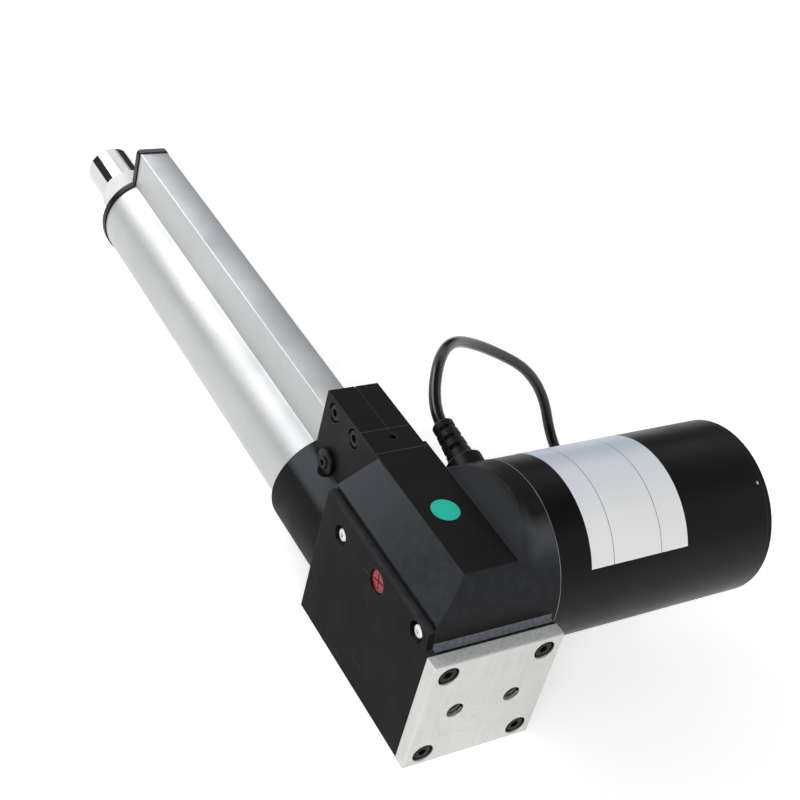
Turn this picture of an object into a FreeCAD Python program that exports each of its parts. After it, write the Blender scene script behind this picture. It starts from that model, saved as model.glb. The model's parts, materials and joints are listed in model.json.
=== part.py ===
# Electric linear actuator: worm-geared motor, screw spindle and a sliding rod in an aluminium tube.
# Frame in mm: X along the motor, Y along the tube towards the rod end, Z up.
# The origin is the midpoint of the two tapped holes on the outer face of the rear plate.
import FreeCAD
import Part
import Sketcher
import math
import os
import re

V = FreeCAD.Vector

sizes = {
    # Clearances: pressed or seated, running, bolts in their ways, and free
    "fit_gap": 0.05,
    "run_gap": 0.03,
    "pass_gap": 0.2,
    "free_gap": 0.3,
    # Rear plate
    "plate_wide": 54,
    "plate_tall": 52,
    "plate_thick": 5.5,
    "plate_round": 0.8,
    "screw_inset_x": 7,
    "screw_inset_z": 6,
    "screw_mouth_rad": 4.2,
    "screw_mouth_deep": 4,
    "screw_rad": 2,
    "screw_head_rad": 3.5,
    "screw_head_tall": 3.4,
    "screw_grip": 12,
    "tap_pitch": 24,
    "tap_rad": 3.4,
    "tap_room": 0.8,
    # Gear housing
    "axis_drop": 2.2,
    "plate_proud": 0.6,
    "floor_step": 0.5,
    "back_wall": 6.5,
    "floor_wall": 3,
    "front_wall": 12.6,
    "chamber_room": 8.7,
    "wheel_room": 0.8,
    "cover_thick": 3,
    "cover_top": 33.4,
    "cover_bevel": 1.2,
    "collar_room": 2.8,
    "collar_step": 1.7,
    "strip_half": 11.5,
    "strip_roof": 14.15,
    "ramp_reach": 7.5,
    "clamp_long": 31.4,
    "clamp_step": 1.2,
    "socket_back": 5.4,
    "socket_lip": 4.3,
    "socket_wall": 3.45,
    "split_wide": 0.6,
    "split_hole_rad": 1.6,
    "split_hole_deep": 6,
    "worm_bore_rad": 10.3,
    "worm_seat_rad": 8,
    "boss_rad": 7.4,
    "boss_long": 22,
    # Outer tube and its switch channel
    "tube_rad": 20.75,
    "tube_wall": 2.85,
    "chan_foot_half": 7.5,
    "chan_top_half": 7.1,
    "chan_tall": 16.45,
    "chan_sink": 1.6,
    "chan_wall": 1.9,
    "chan_web": 2.5,
    "chan_round": 0.7,
    "slot_half": 3.1,
    "cap_thick": 4,
    "cap_proud": 0.6,
    "cap_corner": 2.2,
    "cap_round": 0.8,
    # Rod, nut and spindle
    "stroke": 160,
    "rod_rad": 12,
    "rod_wall": 2.8,
    "rod_proud": 24.5,
    "rod_bevel": 1,
    "rod_thread_rad": 4.25,
    "rod_thread_deep": 20,
    "rod_thread_bevel": 0.8,
    "rod_plug_long": 24,
    "nose_long": 22.6,
    "nose_wall": 1,
    "nose_bevel": 0.6,
    "bush_long": 28,
    "nut_room": 10,
    "nut_long": 30,
    "nut_web": 12,
    "nut_play": 0.3,
    "nut_end_room": 11.9,
    "key_back": 8,
    "key_long": 12,
    "key_root": 3,
    "key_reach": 4.4,
    "spindle_rad": 6,
    "spindle_room": 11,
    "rear_journal_rad": 7.5,
    "rear_bearing_rad": 17.5,
    "rear_bearing_long": 11,
    "front_bearing_rad": 14,
    "front_bearing_long": 8,
    "wheel_seat_rad": 8,
    "shoulder_rad": 10,
    "wheel_wide": 14,
    "lock_ring_rad": 12,
    "lock_ring_long": 5,
    # Worm gear
    "gear_module": 1.3,
    "wheel_teeth": 30,
    "worm_pitch_rad": 7.95,
    "flank_lean": 20,
    "mesh_play": 0.8,
    "worm_long": 28,
    "worm_turns": 6,
    "worm_room": 2.4,
    # Motor
    "motor_rad": 35,
    "motor_long": 102.8,
    "end_rim": 3,
    "end_bevel": 1,
    "can_wall": 2.5,
    "shaft_rad": 4,
    "shaft_room": 1.5,
    "flange_thick": 6,
    "bush_rad": 8,
    "hub_wall": 3,
    "hub_short": 2,
    "bolt_inset": 7.28,
    "bolt_lean": 5.4,
    "bolt_rad": 2.5,
    "bolt_head_rad": 3.3,
    "bolt_head_tall": 3.5,
    "bolt_mouth_rad": 4.2,
    "bolt_mouth_deep": 1.6,
    "plug_rad": 4.5,
    "plug_thick": 2.2,
    "magnet_thick": 5.8,
    "magnet_over": 4,
    "magnet_turn": 136,
    "air_gap": 0.7,
    "core_room": 13.9,
    "winding_inset": 3,
    "winding_long": 8,
    "winding_wall": 2,
    "commutator_rad": 11,
    "commutator_long": 9,
    "spigot_deep": 9,
    "spigot_wall": 4,
    "brush_plate_thick": 3,
    "brush_room": 1.5,
    "brush_wide": 5,
    "brush_long": 9,
    "brush_gap": 0.1,
    # Clamp and lock screws
    "clamp_bolt_inset": 7.2,
    "clamp_bolt_pitch": 16,
    "clamp_bolt_drop": 5.55,
    "clamp_bolt_rad": 2,
    "clamp_head_rad": 3.3,
    "clamp_head_sunk": 0.4,
    "clamp_mouth_rad": 4,
    "clamp_mouth_deep": 3,
    "lock_inset": 11.2,
    "lock_up": 4.35,
    "lock_head_rad": 5.4,
    "lock_head_tall": 3,
    "lock_head_bevel": 0.8,
    "lock_rad": 3,
    "lock_seat": 0.6,
    # Switch board
    "board_thick": 1.6,
    "board_back_room": 4,
    "board_front_room": 5.9,
    "switch_long": 13,
    "switch_tall": 6,
    "switch_half": 3,
    "button_half": 1,
    "button_back": 4,
    "button_long": 3,
    # Cable, its gland and the coil of spare length
    "cable_rad": 2.5,
    "gland_lean": 12,
    "gland_back": 3.6,
    "gland_inset": 9.1,
    "gland_drop": 5.65,
    "gland_flange_rad": 7.2,
    "gland_flange_thick": 3.6,
    "gland_root_rad": 5.2,
    "gland_tip_rad": 4.5,
    "gland_tip_long": 2,
    "gland_long": 18.5,
    "gland_bevel": 0.6,
    "rib_deep": 0.9,
    "window_half": 2.6,
    "coil_side": 71.9,
    "coil_behind": 9.7,
    "coil_mid": 27.5,
    "coil_half": 5,
    "coil_bevel": 1.5,
    "tie_wide": 4.5,
    "tie_thick": 1,
    "tail_long": 24,
    "plug_body_rad": 6.5,
    "plug_body_long": 26,
    "plug_tip_long": 8,
    "plug_tip_step": 0.8,
    "plug_neck_wall": 1,
    "plug_grip_step": 1.5,
    "plug_grip_long": 10,
}
rib_count = 7
arc_share = 0.45

doc = FreeCAD.newDocument("linear_actuator")
sheet = doc.addObject("Spreadsheet::Sheet", "Sizes")
for row, (alias, number) in enumerate(sizes.items(), start=1):
    sheet.set("A%d" % row, str(number))
    sheet.setAlias("A%d" % row, alias)
doc.recompute()
nodes = []
words = re.compile(r"[a-z][a-z_]*")


def full(text):
    """Turn the size names of a formula into references to the sheet."""
    def named(found):
        word = found.group()
        return "Sizes." + word if word in sizes else word
    return words.sub(named, str(text))


def value(text):
    return float(sheet.evalExpression(full(text)))


def bind(thing, prop, text):
    thing.setExpression(prop, full(text))


turns = {
    "z": FreeCAD.Rotation(),
    "y": FreeCAD.Rotation(V(1, 0, 0), -90),
    "x": FreeCAD.Rotation(V(0, 1, 0), 90),
    "-x": FreeCAD.Rotation(V(0, 1, 0), -90),
}


def place(thing, spot, turn):
    """Put a thing at a point given by formulas, with its own axes turned."""
    thing.Placement = FreeCAD.Placement(V(*[value(text) for text in spot]), turn)
    for axis, text in zip("xyz", spot):
        bind(thing, "Placement.Base." + axis, text)


def block(name, x_span, y_span, z_span):
    thing = doc.addObject("Part::Box", name)
    for prop, (low, high) in zip(["Length", "Width", "Height"], [x_span, y_span, z_span]):
        bind(thing, prop, "(%s) - (%s)" % (high, low))
    place(thing, (x_span[0], y_span[0], z_span[0]), turns["z"])
    return thing


def bar(name, way, radius, start, long):
    """A round bar from a start point along x, y or z."""
    thing = doc.addObject("Part::Cylinder", name)
    bind(thing, "Radius", radius)
    bind(thing, "Height", long)
    place(thing, start, turns[way])
    return thing


def fuse(name, things):
    joined = doc.addObject("Part::MultiFuse", name)
    joined.Shapes = things
    joined.Refine = True
    return joined


def cut(name, base, tools):
    tool = tools[0]
    if len(tools) > 1:
        tool = fuse(name + "_tools", tools)
    left = doc.addObject("Part::Cut", name)
    left.Base = base
    left.Tool = tool
    left.Refine = True
    return left


def group(name, things):
    held = doc.addObject("Part::Compound", name)
    held.Links = things
    return held


def hold(sketch, kind, geo, spot, text):
    """Tie one coordinate of a sketch point to a formula."""
    if text == "0":
        axis = -2 if kind == "DistanceX" else -1
        sketch.addConstraint(Sketcher.Constraint("PointOnObject", geo, spot, axis))
        return
    number = sketch.addConstraint(Sketcher.Constraint(kind, geo, spot, value(text)))
    sketch.setExpression("Constraints[%d]" % number, full(text))


def draw(sketch, corners):
    """Draw a closed outline of straight lines, with each corner tied to two formulas."""
    spots = [V(value(a), value(b), 0) for a, b in corners]
    first = sketch.GeometryCount
    count = len(corners)
    for i in range(count):
        sketch.addGeometry(Part.LineSegment(spots[i], spots[(i + 1) % count]), False)
    for i in range(count):
        after = first + (i + 1) % count
        sketch.addConstraint(Sketcher.Constraint("Coincident", first + i, 2, after, 1))
    for i, (a, b) in enumerate(corners):
        hold(sketch, "DistanceX", first + i, 1, a)
        hold(sketch, "DistanceY", first + i, 1, b)


def ring(sketch, a, b, radius):
    """Draw a circle with its centre and radius tied to formulas."""
    middle = V(value(a), value(b), 0)
    geo = sketch.addGeometry(Part.Circle(middle, V(0, 0, 1), value(radius)), False)
    hold(sketch, "DistanceX", geo, 3, a)
    hold(sketch, "DistanceY", geo, 3, b)
    number = sketch.addConstraint(Sketcher.Constraint("Radius", geo, value(radius)))
    sketch.setExpression("Constraints[%d]" % number, full(radius))


def new_body(name):
    return doc.addObject("PartDesign::Body", name)


def plane_of(body, role):
    for feature in body.Origin.OriginFeatures:
        if feature.Role == role:
            return feature
    raise ValueError(role)


def sketch_on(body, name, role):
    sketch = body.newObject("Sketcher::SketchObject", name)
    sketch.AttachmentSupport = [(plane_of(body, role), "")]
    sketch.MapMode = "FlatFace"
    return sketch


def turned(name, corners, spot, turn):
    """A turned piece: an outline of radius and height, turned about the piece's own z."""
    body = new_body(name)
    sketch = sketch_on(body, name + "_outline", "XZ_Plane")
    draw(sketch, corners)
    spin = body.newObject("PartDesign::Revolution", name + "_turn")
    spin.Profile = sketch
    spin.ReferenceAxis = (sketch, ["V_Axis"])
    spin.Angle = 360
    place(body, spot, turn)
    return body


def sleeve(name, inner, outer, long, spot, turn):
    corners = [(inner, "0"), (outer, "0"), (outer, long), (inner, long)]
    return turned(name, corners, spot, turn)


def screw(name, head_rad, head_tall, shank_rad, reach, spot, turn):
    """A plain screw, from the top of its head along its own z."""
    corners = [
        ("0", "0"),
        (head_rad, "0"),
        (head_rad, head_tall),
        (shank_rad, head_tall),
        (shank_rad, reach),
        ("0", reach),
    ]
    return turned(name, corners, spot, turn)


def prism(name, way, corners, start, long):
    """A straight-sided piece: an outline in the plane across x or y, pulled along it."""
    sketch = doc.addObject("Sketcher::SketchObject", name + "_outline")
    if way == "y":
        sketch.Placement = FreeCAD.Placement(V(), FreeCAD.Rotation(V(1, 0, 0), 90))
        pull = V(0, 1, 0)
    else:
        sketch.Placement = FreeCAD.Placement(V(), FreeCAD.Rotation(V(1, 1, 1), 120))
        pull = V(1, 0, 0)
    bind(sketch, "Placement.Base." + way, start)
    draw(sketch, corners)
    solid = doc.addObject("Part::Extrusion", name)
    solid.Base = sketch
    solid.DirMode = "Custom"
    solid.Dir = pull
    bind(solid, "LengthFwd", long)
    solid.Solid = True
    return solid


def soften(name, base, radius, test, kind="Part::Fillet"):
    """Round or bevel the edges of a piece whose middle and direction pass a test."""
    doc.recompute()
    reach = value(radius)
    wanted = []
    for number, edge in enumerate(base.Shape.Edges, start=1):
        middle = edge.valueAt((edge.FirstParameter + edge.LastParameter) / 2)
        if test(edge, middle):
            wanted.append((number, reach, reach))
    if not wanted:
        raise ValueError("no edge to soften on " + name)
    soft = doc.addObject(kind, name)
    soft.Base = base
    soft.Edges = wanted
    return soft


def straight(edge, way):
    if not isinstance(edge.Curve, Part.Line):
        return False
    run = edge.tangentAt(edge.FirstParameter)
    return abs(abs(run.dot(way)) - 1) < 1e-4


def near(number, text):
    return abs(number - value(text)) < 1e-3


def keep(thing, label):
    thing.Label = label
    nodes.append(thing)
    return thing


# Places worked out from the driving sizes
axis_z = "-axis_drop"
floor_z = "(-plate_tall / 2 - floor_step)"
pitch_rad = "gear_module * wheel_teeth / 2"
wheel_tip = pitch_rad + " + gear_module"
motor_z = "(%s + worm_pitch_rad - axis_drop)" % pitch_rad
motor_y = "(plate_thick + collar_room + motor_rad)"
motor_mid = (motor_y, motor_z)
box_half = "(plate_wide / 2 - plate_proud)"
cover_in = "(cover_thick - %s)" % box_half
worm_bush_end = "(-worm_long / 2 - worm_room)"
seam_x = "(%s + collar_step)" % box_half
rear_bearing_y = "(plate_thick + back_wall)"
chamber_back = "(%s + rear_bearing_long)" % rear_bearing_y
chamber_front = "(%s + wheel_wide / 2 + lock_ring_long + chamber_room)" % motor_y
chamber_half = "(%s + wheel_room)" % wheel_tip
box_front = "(%s + front_bearing_long + front_wall)" % chamber_front
socket_floor = "(%s + socket_back)" % box_front
clamp_front = "(%s + clamp_long)" % socket_floor
socket_front = "(%s + socket_lip)" % clamp_front
tube_bore = "(tube_rad - tube_wall)"
chan_top_z = "(%s + tube_rad + chan_tall)" % axis_z
chan_foot_z = "(%s + tube_rad - chan_sink)" % axis_z
chan_floor_z = "(%s + %s + chan_web)" % (axis_z, tube_bore)
strip_top = "(%s + strip_roof)" % chan_top_z
slope_foot = "(cover_top - cover_bevel)"
nut_back = "(%s + nut_room)" % socket_floor
bush_back = "(%s + nut_long + stroke + nut_end_room)" % nut_back
tube_end = "(%s + bush_long)" % bush_back
rod_tip = "(%s + cap_thick + nose_long + rod_proud)" % tube_end
key_mid = "(%s + key_back + key_long / 2)" % nut_back
motor_end = "(%s + motor_long)" % seam_x
can_end = "(%s - end_rim)" % motor_end
can_bore = "(motor_rad - can_wall)"
magnet_rad = "(%s - magnet_thick)" % can_bore
core_rad = "(%s - air_gap)" % magnet_rad
core_back = "(%s + flange_thick + core_room)" % seam_x
brush_plate_x = "(%s - spigot_deep - brush_plate_thick)" % can_end
core_front = "(%s - brush_wide - free_gap * 3 - winding_long)" % brush_plate_x
core_long = "(%s - %s)" % (core_front, core_back)
sky = "(motor_rad * 3)"

# Rear plate: sunk mouths for four screws and two tapped fixing holes
screw_x = "(plate_wide / 2 - screw_inset_x)"
screw_z = "(plate_tall / 2 - screw_inset_z)"
screw_spots = [(sx + screw_x, sz + screw_z) for sx in ("-", "") for sz in ("-", "")]
plate = new_body("rear_plate_body")
outline = sketch_on(plate, "plate_outline", "XZ_Plane")
draw(outline, [
    ("-plate_wide / 2", "-plate_tall / 2"),
    ("plate_wide / 2", "-plate_tall / 2"),
    ("plate_wide / 2", "plate_tall / 2"),
    ("-plate_wide / 2", "plate_tall / 2"),
])
pad = plate.newObject("PartDesign::Pad", "plate_pad")
pad.Profile = outline
pad.Reversed = True
bind(pad, "Length", "plate_thick")
taps = sketch_on(plate, "plate_taps", "XZ_Plane")
for side in ("-", ""):
    ring(taps, side + "tap_pitch / 2", "0", "tap_rad")
mouths = sketch_on(plate, "plate_mouths", "XZ_Plane")
passes = sketch_on(plate, "plate_passes", "XZ_Plane")
for spot_x, spot_z in screw_spots:
    ring(mouths, spot_x, spot_z, "screw_mouth_rad")
    ring(passes, spot_x, spot_z, "screw_rad + pass_gap")
sunk = plate.newObject("PartDesign::Pocket", "plate_sunk")
sunk.Profile = mouths
bind(sunk, "Length", "screw_mouth_deep")
for name, holes in [("plate_tapped", taps), ("plate_through", passes)]:
    through = plate.newObject("PartDesign::Pocket", name)
    through.Profile = holes
    through.Type = "ThroughAll"
doc.recompute()
rim = []
for number, edge in enumerate(through.Shape.Edges, start=1):
    middle = edge.CenterOfMass
    on_side = near(abs(middle.x), "plate_wide / 2") or near(abs(middle.z), "plate_tall / 2")
    if on_side and abs(middle.y) < 1e-3:
        rim.append("Edge%d" % number)
soft_rim = plate.newObject("PartDesign::Fillet", "plate_soft_rim")
soft_rim.Base = (through, rim)
bind(soft_rim, "Radius", "plate_round")
plate.Tip = soft_rim
keep(plate, "rear_plate")

plate_screws = []
for number, (spot_x, spot_z) in enumerate(screw_spots):
    spot = (spot_x, "screw_mouth_deep - screw_head_tall", spot_z)
    reach = "screw_head_tall + screw_grip"
    plate_screws.append(screw("plate_screw_%d" % number, "screw_head_rad", "screw_head_tall",
                              "screw_rad", reach, spot, turns["y"]))
keep(group("plate_screw_set", plate_screws), "plate_screws")

# Gear housing: box, motor collar, ridge with the clamp block, tube socket and cable boss
gland_turn = FreeCAD.Rotation(V(1, 0, 0), value("gland_lean")).multiply(turns["y"])
gland_spot = (
    "(%s - gland_back)" % seam_x,
    "(%s - gland_inset)" % box_front,
    "(%s - gland_drop)" % strip_top,
)
boss = doc.addObject("Part::Cylinder", "hull_boss")
bind(boss, "Radius", "boss_rad")
bind(boss, "Height", "boss_long")
place(boss, (
    gland_spot[0],
    gland_spot[1] + " - boss_long * cos(gland_lean)",
    gland_spot[2] + " - boss_long * sin(gland_lean)",
), gland_turn)
box_side = (cover_in, box_half)
clamp_right = "(strip_half - clamp_step)"
hull = fuse("hull", [
    block("hull_low", box_side, ("plate_thick", box_front), (floor_z, "plate_tall / 2")),
    block("hull_high", box_side, (motor_y, box_front), ("0", "cover_top")),
    block("hull_ridge", ("-strip_half", "strip_half"), (motor_y, box_front), ("0", strip_top)),
    block("hull_clamp", ("-strip_half", clamp_right), (box_front, clamp_front), (axis_z, strip_top)),
    bar("hull_collar", "x", "motor_rad", (cover_in,) + motor_mid, "%s - %s" % (seam_x, cover_in)),
    bar("hull_socket", "y", "tube_rad + socket_wall", ("0", box_front, axis_z),
        "%s - %s" % (socket_front, box_front)),
    boss,
])

past_front = "(%s + plate_thick)" % box_front
slope_cut = prism("slope_cut", "y", [
    ("-strip_half", strip_top),
    ("-" + box_half, slope_foot),
    ("-motor_rad * 2", slope_foot),
    ("-motor_rad * 2", sky),
    ("-strip_half", sky),
], "-plate_thick", past_front)
ramp_cut = prism("ramp_cut", "y", [
    ("strip_half", strip_top),
    ("strip_half + ramp_reach * 2", "%s + (motor_rad + %s - %s) * 2" % (strip_top, motor_z, strip_top)),
    ("strip_half + ramp_reach * 2", sky),
    ("strip_half", sky),
], "-plate_thick", past_front)
top_cut = block("top_cut", ("-motor_rad * 2", "strip_half"), ("-plate_thick", socket_front), (strip_top, sky))
motor_room = bar("motor_room", "x", "motor_rad + free_gap", (seam_x,) + motor_mid, "motor_rad")
bearing_seat = bar("bearing_seat", "y", "rear_bearing_rad + fit_gap", ("0", rear_bearing_y, axis_z),
                   "rear_bearing_long + wheel_room")
chamber = block("chamber", ("-plate_wide", chamber_half), (chamber_back, chamber_front),
                (floor_z + " + floor_wall", "%s + %s" % (axis_z, chamber_half)))
worm_bore = bar("worm_bore", "x", "worm_bore_rad", (worm_bush_end,) + motor_mid, "plate_wide * 2")
worm_seat = bar("worm_seat", "x", "worm_seat_rad", ("-plate_wide",) + motor_mid, "plate_wide")
front_seat = bar("front_seat", "y", "front_bearing_rad + fit_gap",
                 ("0", chamber_front + " - wheel_room", axis_z), "front_bearing_long + wheel_room")
front_pass = bar("front_pass", "y", "shoulder_rad", ("0", chamber_front, axis_z),
                 "%s - %s" % (clamp_front, chamber_front))
tube_seat = bar("tube_seat", "y", "tube_rad + fit_gap", ("0", socket_floor, axis_z), socket_front)


def channel_outline(proud, low):
    """The outside of the switch channel, grown by a gap or a rim."""
    foot = "chan_foot_half + " + proud
    top = "chan_top_half + " + proud
    high = "%s + %s" % (chan_top_z, proud)
    return [
        ("-(%s)" % foot, low),
        (foot, low),
        (foot, chan_foot_z),
        (top, high),
        ("-(%s)" % top, high),
        ("-(%s)" % foot, chan_foot_z),
    ]


chan_seat = prism("chan_seat", "y", channel_outline("fit_gap", axis_z), socket_floor, socket_front)
split = block("split", ("-split_wide / 2", "split_wide / 2"), (socket_floor, socket_front + " * 2"),
              (chan_top_z + " - split_wide", sky))
split_foot = ("0", socket_floor, chan_top_z + " - split_hole_deep")
split_end = bar("split_end", "z", "split_hole_rad", split_foot, sky)
cuts = [slope_cut, ramp_cut, top_cut, motor_room, bearing_seat, chamber, worm_bore, worm_seat]
cuts += [front_seat, front_pass, tube_seat, chan_seat, split, split_end]
bolt_y = "(motor_rad - bolt_inset) * cos(bolt_lean)"
bolt_z = "(motor_rad - bolt_inset) * sin(bolt_lean)"
bolt_spots = [
    ("%s + %s" % (motor_y, bolt_y), "%s - %s" % (motor_z, bolt_z)),
    ("%s - %s" % (motor_y, bolt_y), "%s + %s" % (motor_z, bolt_z)),
]
for number, bolt_spot in enumerate(bolt_spots):
    start = ("-" + box_half,) + bolt_spot
    cuts.append(bar("bolt_way_%d" % number, "x", "bolt_rad + pass_gap", start, "plate_wide * 2"))
    cuts.append(bar("bolt_mouth_%d" % number, "x", "bolt_mouth_rad", start, "cover_thick + bolt_mouth_deep"))
for number, (spot_x, spot_z) in enumerate(screw_spots):
    spot = (spot_x, "0", spot_z)
    deep = "screw_mouth_deep + screw_grip"
    cuts.append(bar("screw_way_%d" % number, "y", "screw_rad + fit_gap", spot, deep))
for number, side in enumerate(["-", ""]):
    spot = (side + "tap_pitch / 2", "0", "0")
    cuts.append(bar("tap_end_%d" % number, "y", "tap_rad + tap_room", spot, rear_bearing_y + " - floor_step"))
clamp_bolts = [clamp_front + " - clamp_bolt_inset", clamp_front + " - clamp_bolt_inset - clamp_bolt_pitch"]
clamp_bolt_z = "(%s - clamp_bolt_drop)" % strip_top
for number, along in enumerate(clamp_bolts):
    start = ("-strip_half * 2", along, clamp_bolt_z)
    far = (clamp_right + " - clamp_mouth_deep", along, clamp_bolt_z)
    deep = "strip_half + clamp_mouth_deep"
    cuts.append(bar("clamp_way_%d" % number, "x", "clamp_bolt_rad + pass_gap", start, "strip_half * 4"))
    cuts.append(bar("clamp_mouth_%d" % number, "x", "clamp_mouth_rad", start, deep))
    cuts.append(bar("clamp_far_%d" % number, "x", "clamp_mouth_rad", far, "strip_half"))
lock_spot = (clamp_front + " - lock_inset", axis_z + " + tube_rad + lock_up")
lock_start = ("-strip_half * 2",) + lock_spot
cuts.append(bar("lock_way", "x", "lock_rad + fit_gap", lock_start, "strip_half * 2"))
cuts.append(bar("lock_face", "x", "lock_head_rad + lock_seat", lock_start, "strip_half"))
keep(cut("housing_cut", hull, cuts), "gear_housing")

# Side cover: flat plate over the gear chamber, bevelled along the top
near_foot = "%s - sqrt(motor_rad ^ 2 - (cover_top - %s) ^ 2)" % motor_mid
near_hip = "%s - sqrt(motor_rad ^ 2 - (plate_tall / 2 - %s) ^ 2)" % motor_mid
cover_base = prism("cover_base", "x", [
    ("plate_thick", floor_z),
    (box_front, floor_z),
    (box_front, "cover_top"),
    (near_foot, "cover_top"),
    (near_hip, "plate_tall / 2"),
    ("plate_thick", "plate_tall / 2"),
], "-" + box_half, "cover_thick")
cover_cuts = [bar("plug_way", "x", "plug_rad + free_gap", ("-plate_wide",) + motor_mid, "plate_wide")]
for number, bolt_spot in enumerate(bolt_spots):
    start = ("-plate_wide",) + bolt_spot
    cover_cuts.append(bar("cover_way_%d" % number, "x", "bolt_mouth_rad", start, "plate_wide"))
cover_cut = cut("cover_cut", cover_base, cover_cuts)


def cover_top_edge(edge, middle):
    outer = near(middle.x, "-" + box_half) and near(middle.z, "cover_top")
    return outer and straight(edge, V(0, 1, 0))


keep(soften("cover_bevelled", cover_cut, "cover_bevel", cover_top_edge, "Part::Chamfer"), "side_cover")

# Outer tube: round extrusion with a hollow switch channel along its top
tube_long = "(%s - %s)" % (tube_end, socket_floor)
tube_hull = fuse("tube_hull", [
    bar("tube_round", "y", "tube_rad", ("0", socket_floor, axis_z), tube_long),
    prism("tube_chan", "y", channel_outline("0", axis_z + " + chan_tall / 2"), socket_floor, tube_long),
])
hollow_half = "(chan_top_half - chan_wall)"
hollow_side = ("-" + hollow_half, hollow_half)
hollow_top = "(%s - chan_wall)" % chan_top_z
hollow_run = (box_front, tube_end + " + cap_thick")
tube_cut = cut("tube_cut", tube_hull, [
    bar("tube_hole", "y", tube_bore, ("0", box_front, axis_z), tube_long + " * 2"),
    block("chan_hollow", hollow_side, hollow_run, (chan_floor_z, hollow_top)),
    block("chan_slot", ("-slot_half", "slot_half"), hollow_run, (axis_z, chan_floor_z + " + chan_wall")),
])


def channel_corner(edge, middle):
    outer = near(middle.z, chan_top_z) and near(abs(middle.x), "chan_top_half")
    return outer and straight(edge, V(0, 1, 0))


keep(soften("tube_soft", tube_cut, "chan_round", channel_corner), "outer_tube")

# End cap: black plate of the tube's own outline, a little proud of it
nose_rad = "(rod_rad + nose_wall)"
cap_hull = fuse("cap_hull", [
    bar("cap_disc", "y", "tube_rad + cap_proud", ("0", tube_end, axis_z), "cap_thick"),
    prism("cap_chan", "y", channel_outline("cap_proud", axis_z), tube_end, "cap_thick"),
])
cap_hole = bar("cap_hole", "y", nose_rad + " + fit_gap", ("0", box_front, axis_z), tube_end)
cap_cut = cut("cap_cut", cap_hull, [cap_hole])


def cap_corner_edge(edge, middle):
    return near(middle.z, chan_top_z + " + cap_proud") and straight(edge, V(0, 1, 0))


def cap_rim_edge(edge, middle):
    from_axis = math.hypot(middle.x, middle.z - value(axis_z))
    return near(middle.y, tube_end + " + cap_thick") and from_axis > value(nose_rad + " + cap_thick / 2")


cap_cornered = soften("cap_cornered", cap_cut, "cap_corner", cap_corner_edge)
keep(soften("cap_rounded", cap_cornered, "cap_round", cap_rim_edge), "end_cap")

# Guide bush: white plastic, its body in the tube and its nose through the end cap
bush_rad = tube_bore + " - fit_gap"
nose_end = "(bush_long + cap_thick + nose_long)"
keep(turned("guide_bush_body", [
    ("rod_rad + run_gap", "0"),
    (bush_rad, "0"),
    (bush_rad, "bush_long"),
    (nose_rad, "bush_long"),
    (nose_rad, nose_end + " - nose_bevel"),
    (nose_rad + " - nose_bevel", nose_end),
    ("rod_rad + run_gap", nose_end),
], ("0", bush_back, axis_z), turns["y"]), "guide_bush")

# Rod: chromed tube held in the nut, with a threaded plug flush in its front end
rod_back = "(%s + nut_web)" % nut_back
rod_long = "(%s - %s)" % (rod_tip, rod_back)
rod_bore = "(rod_rad - rod_wall)"
keep(turned("extension_tube_body", [
    (rod_bore, "0"),
    ("rod_rad", "0"),
    ("rod_rad", rod_long + " - rod_bevel"),
    ("rod_rad - rod_bevel", rod_long),
    (rod_bore, rod_long),
], ("0", rod_back, axis_z), turns["y"]), "extension_tube")
thread_end = "rod_plug_long - rod_thread_deep"
keep(turned("rod_end_body", [
    ("0", "0"),
    (rod_bore + " - run_gap", "0"),
    (rod_bore + " - run_gap", "rod_plug_long"),
    ("rod_thread_rad + rod_thread_bevel", "rod_plug_long"),
    ("rod_thread_rad", "rod_plug_long - rod_thread_bevel"),
    ("rod_thread_rad", thread_end),
    ("0", thread_end),
], ("0", rod_tip + " - rod_plug_long", axis_z), turns["y"]), "rod_end")
nut_turned = turned("nut_turned", [
    ("spindle_rad + run_gap", "0"),
    (tube_bore + " - nut_play", "0"),
    (tube_bore + " - nut_play", "nut_long"),
    ("rod_rad + run_gap", "nut_long"),
    ("rod_rad + run_gap", "nut_web"),
    ("spindle_rad + run_gap", "nut_web"),
], ("0", nut_back, axis_z), turns["y"])
key_half = "(slot_half - nut_play)"
key_tip = "(%s + key_reach)" % chan_floor_z
nut_key = block("nut_key", ("-" + key_half, key_half),
                (nut_back + " + key_back", nut_back + " + key_back + key_long"),
                ("%s + %s - key_root" % (axis_z, tube_bore), key_tip))
keep(fuse("nut_fuse", [nut_turned, nut_key]), "spindle_nut")

# Spindle, its bearings, the worm wheel and the ring that holds it
wheel_back = "(%s - wheel_wide / 2)" % motor_y
spindle_back = "(%s + rod_bevel)" % rear_bearing_y
spindle_front = "(%s - rod_plug_long - spindle_room)" % rod_tip
journal_long = "%s - %s" % (chamber_back, spindle_back)
seat_at = "%s - %s" % (wheel_back, spindle_back)
thread_at = "%s - %s" % (chamber_front, spindle_back)
spindle_long = "%s - %s" % (spindle_front, spindle_back)
keep(turned("spindle_body", [
    ("0", "0"),
    ("rear_journal_rad", "0"),
    ("rear_journal_rad", journal_long),
    ("shoulder_rad", journal_long),
    ("shoulder_rad", seat_at),
    ("wheel_seat_rad", seat_at),
    ("wheel_seat_rad", thread_at),
    ("spindle_rad", thread_at),
    ("spindle_rad", spindle_long + " - rod_bevel"),
    ("spindle_rad - rod_bevel", spindle_long),
    ("0", spindle_long),
], ("0", spindle_back, axis_z), turns["y"]), "spindle")
spindle_rings = [
    ("rear_bearing", "rear_journal_rad", "rear_bearing_rad", "rear_bearing_long", rear_bearing_y),
    ("front_bearing", "spindle_rad", "front_bearing_rad", "front_bearing_long", chamber_front),
    ("wheel_lock_ring", "wheel_seat_rad", "lock_ring_rad", "lock_ring_long", wheel_back + " + wheel_wide"),
]
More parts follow.
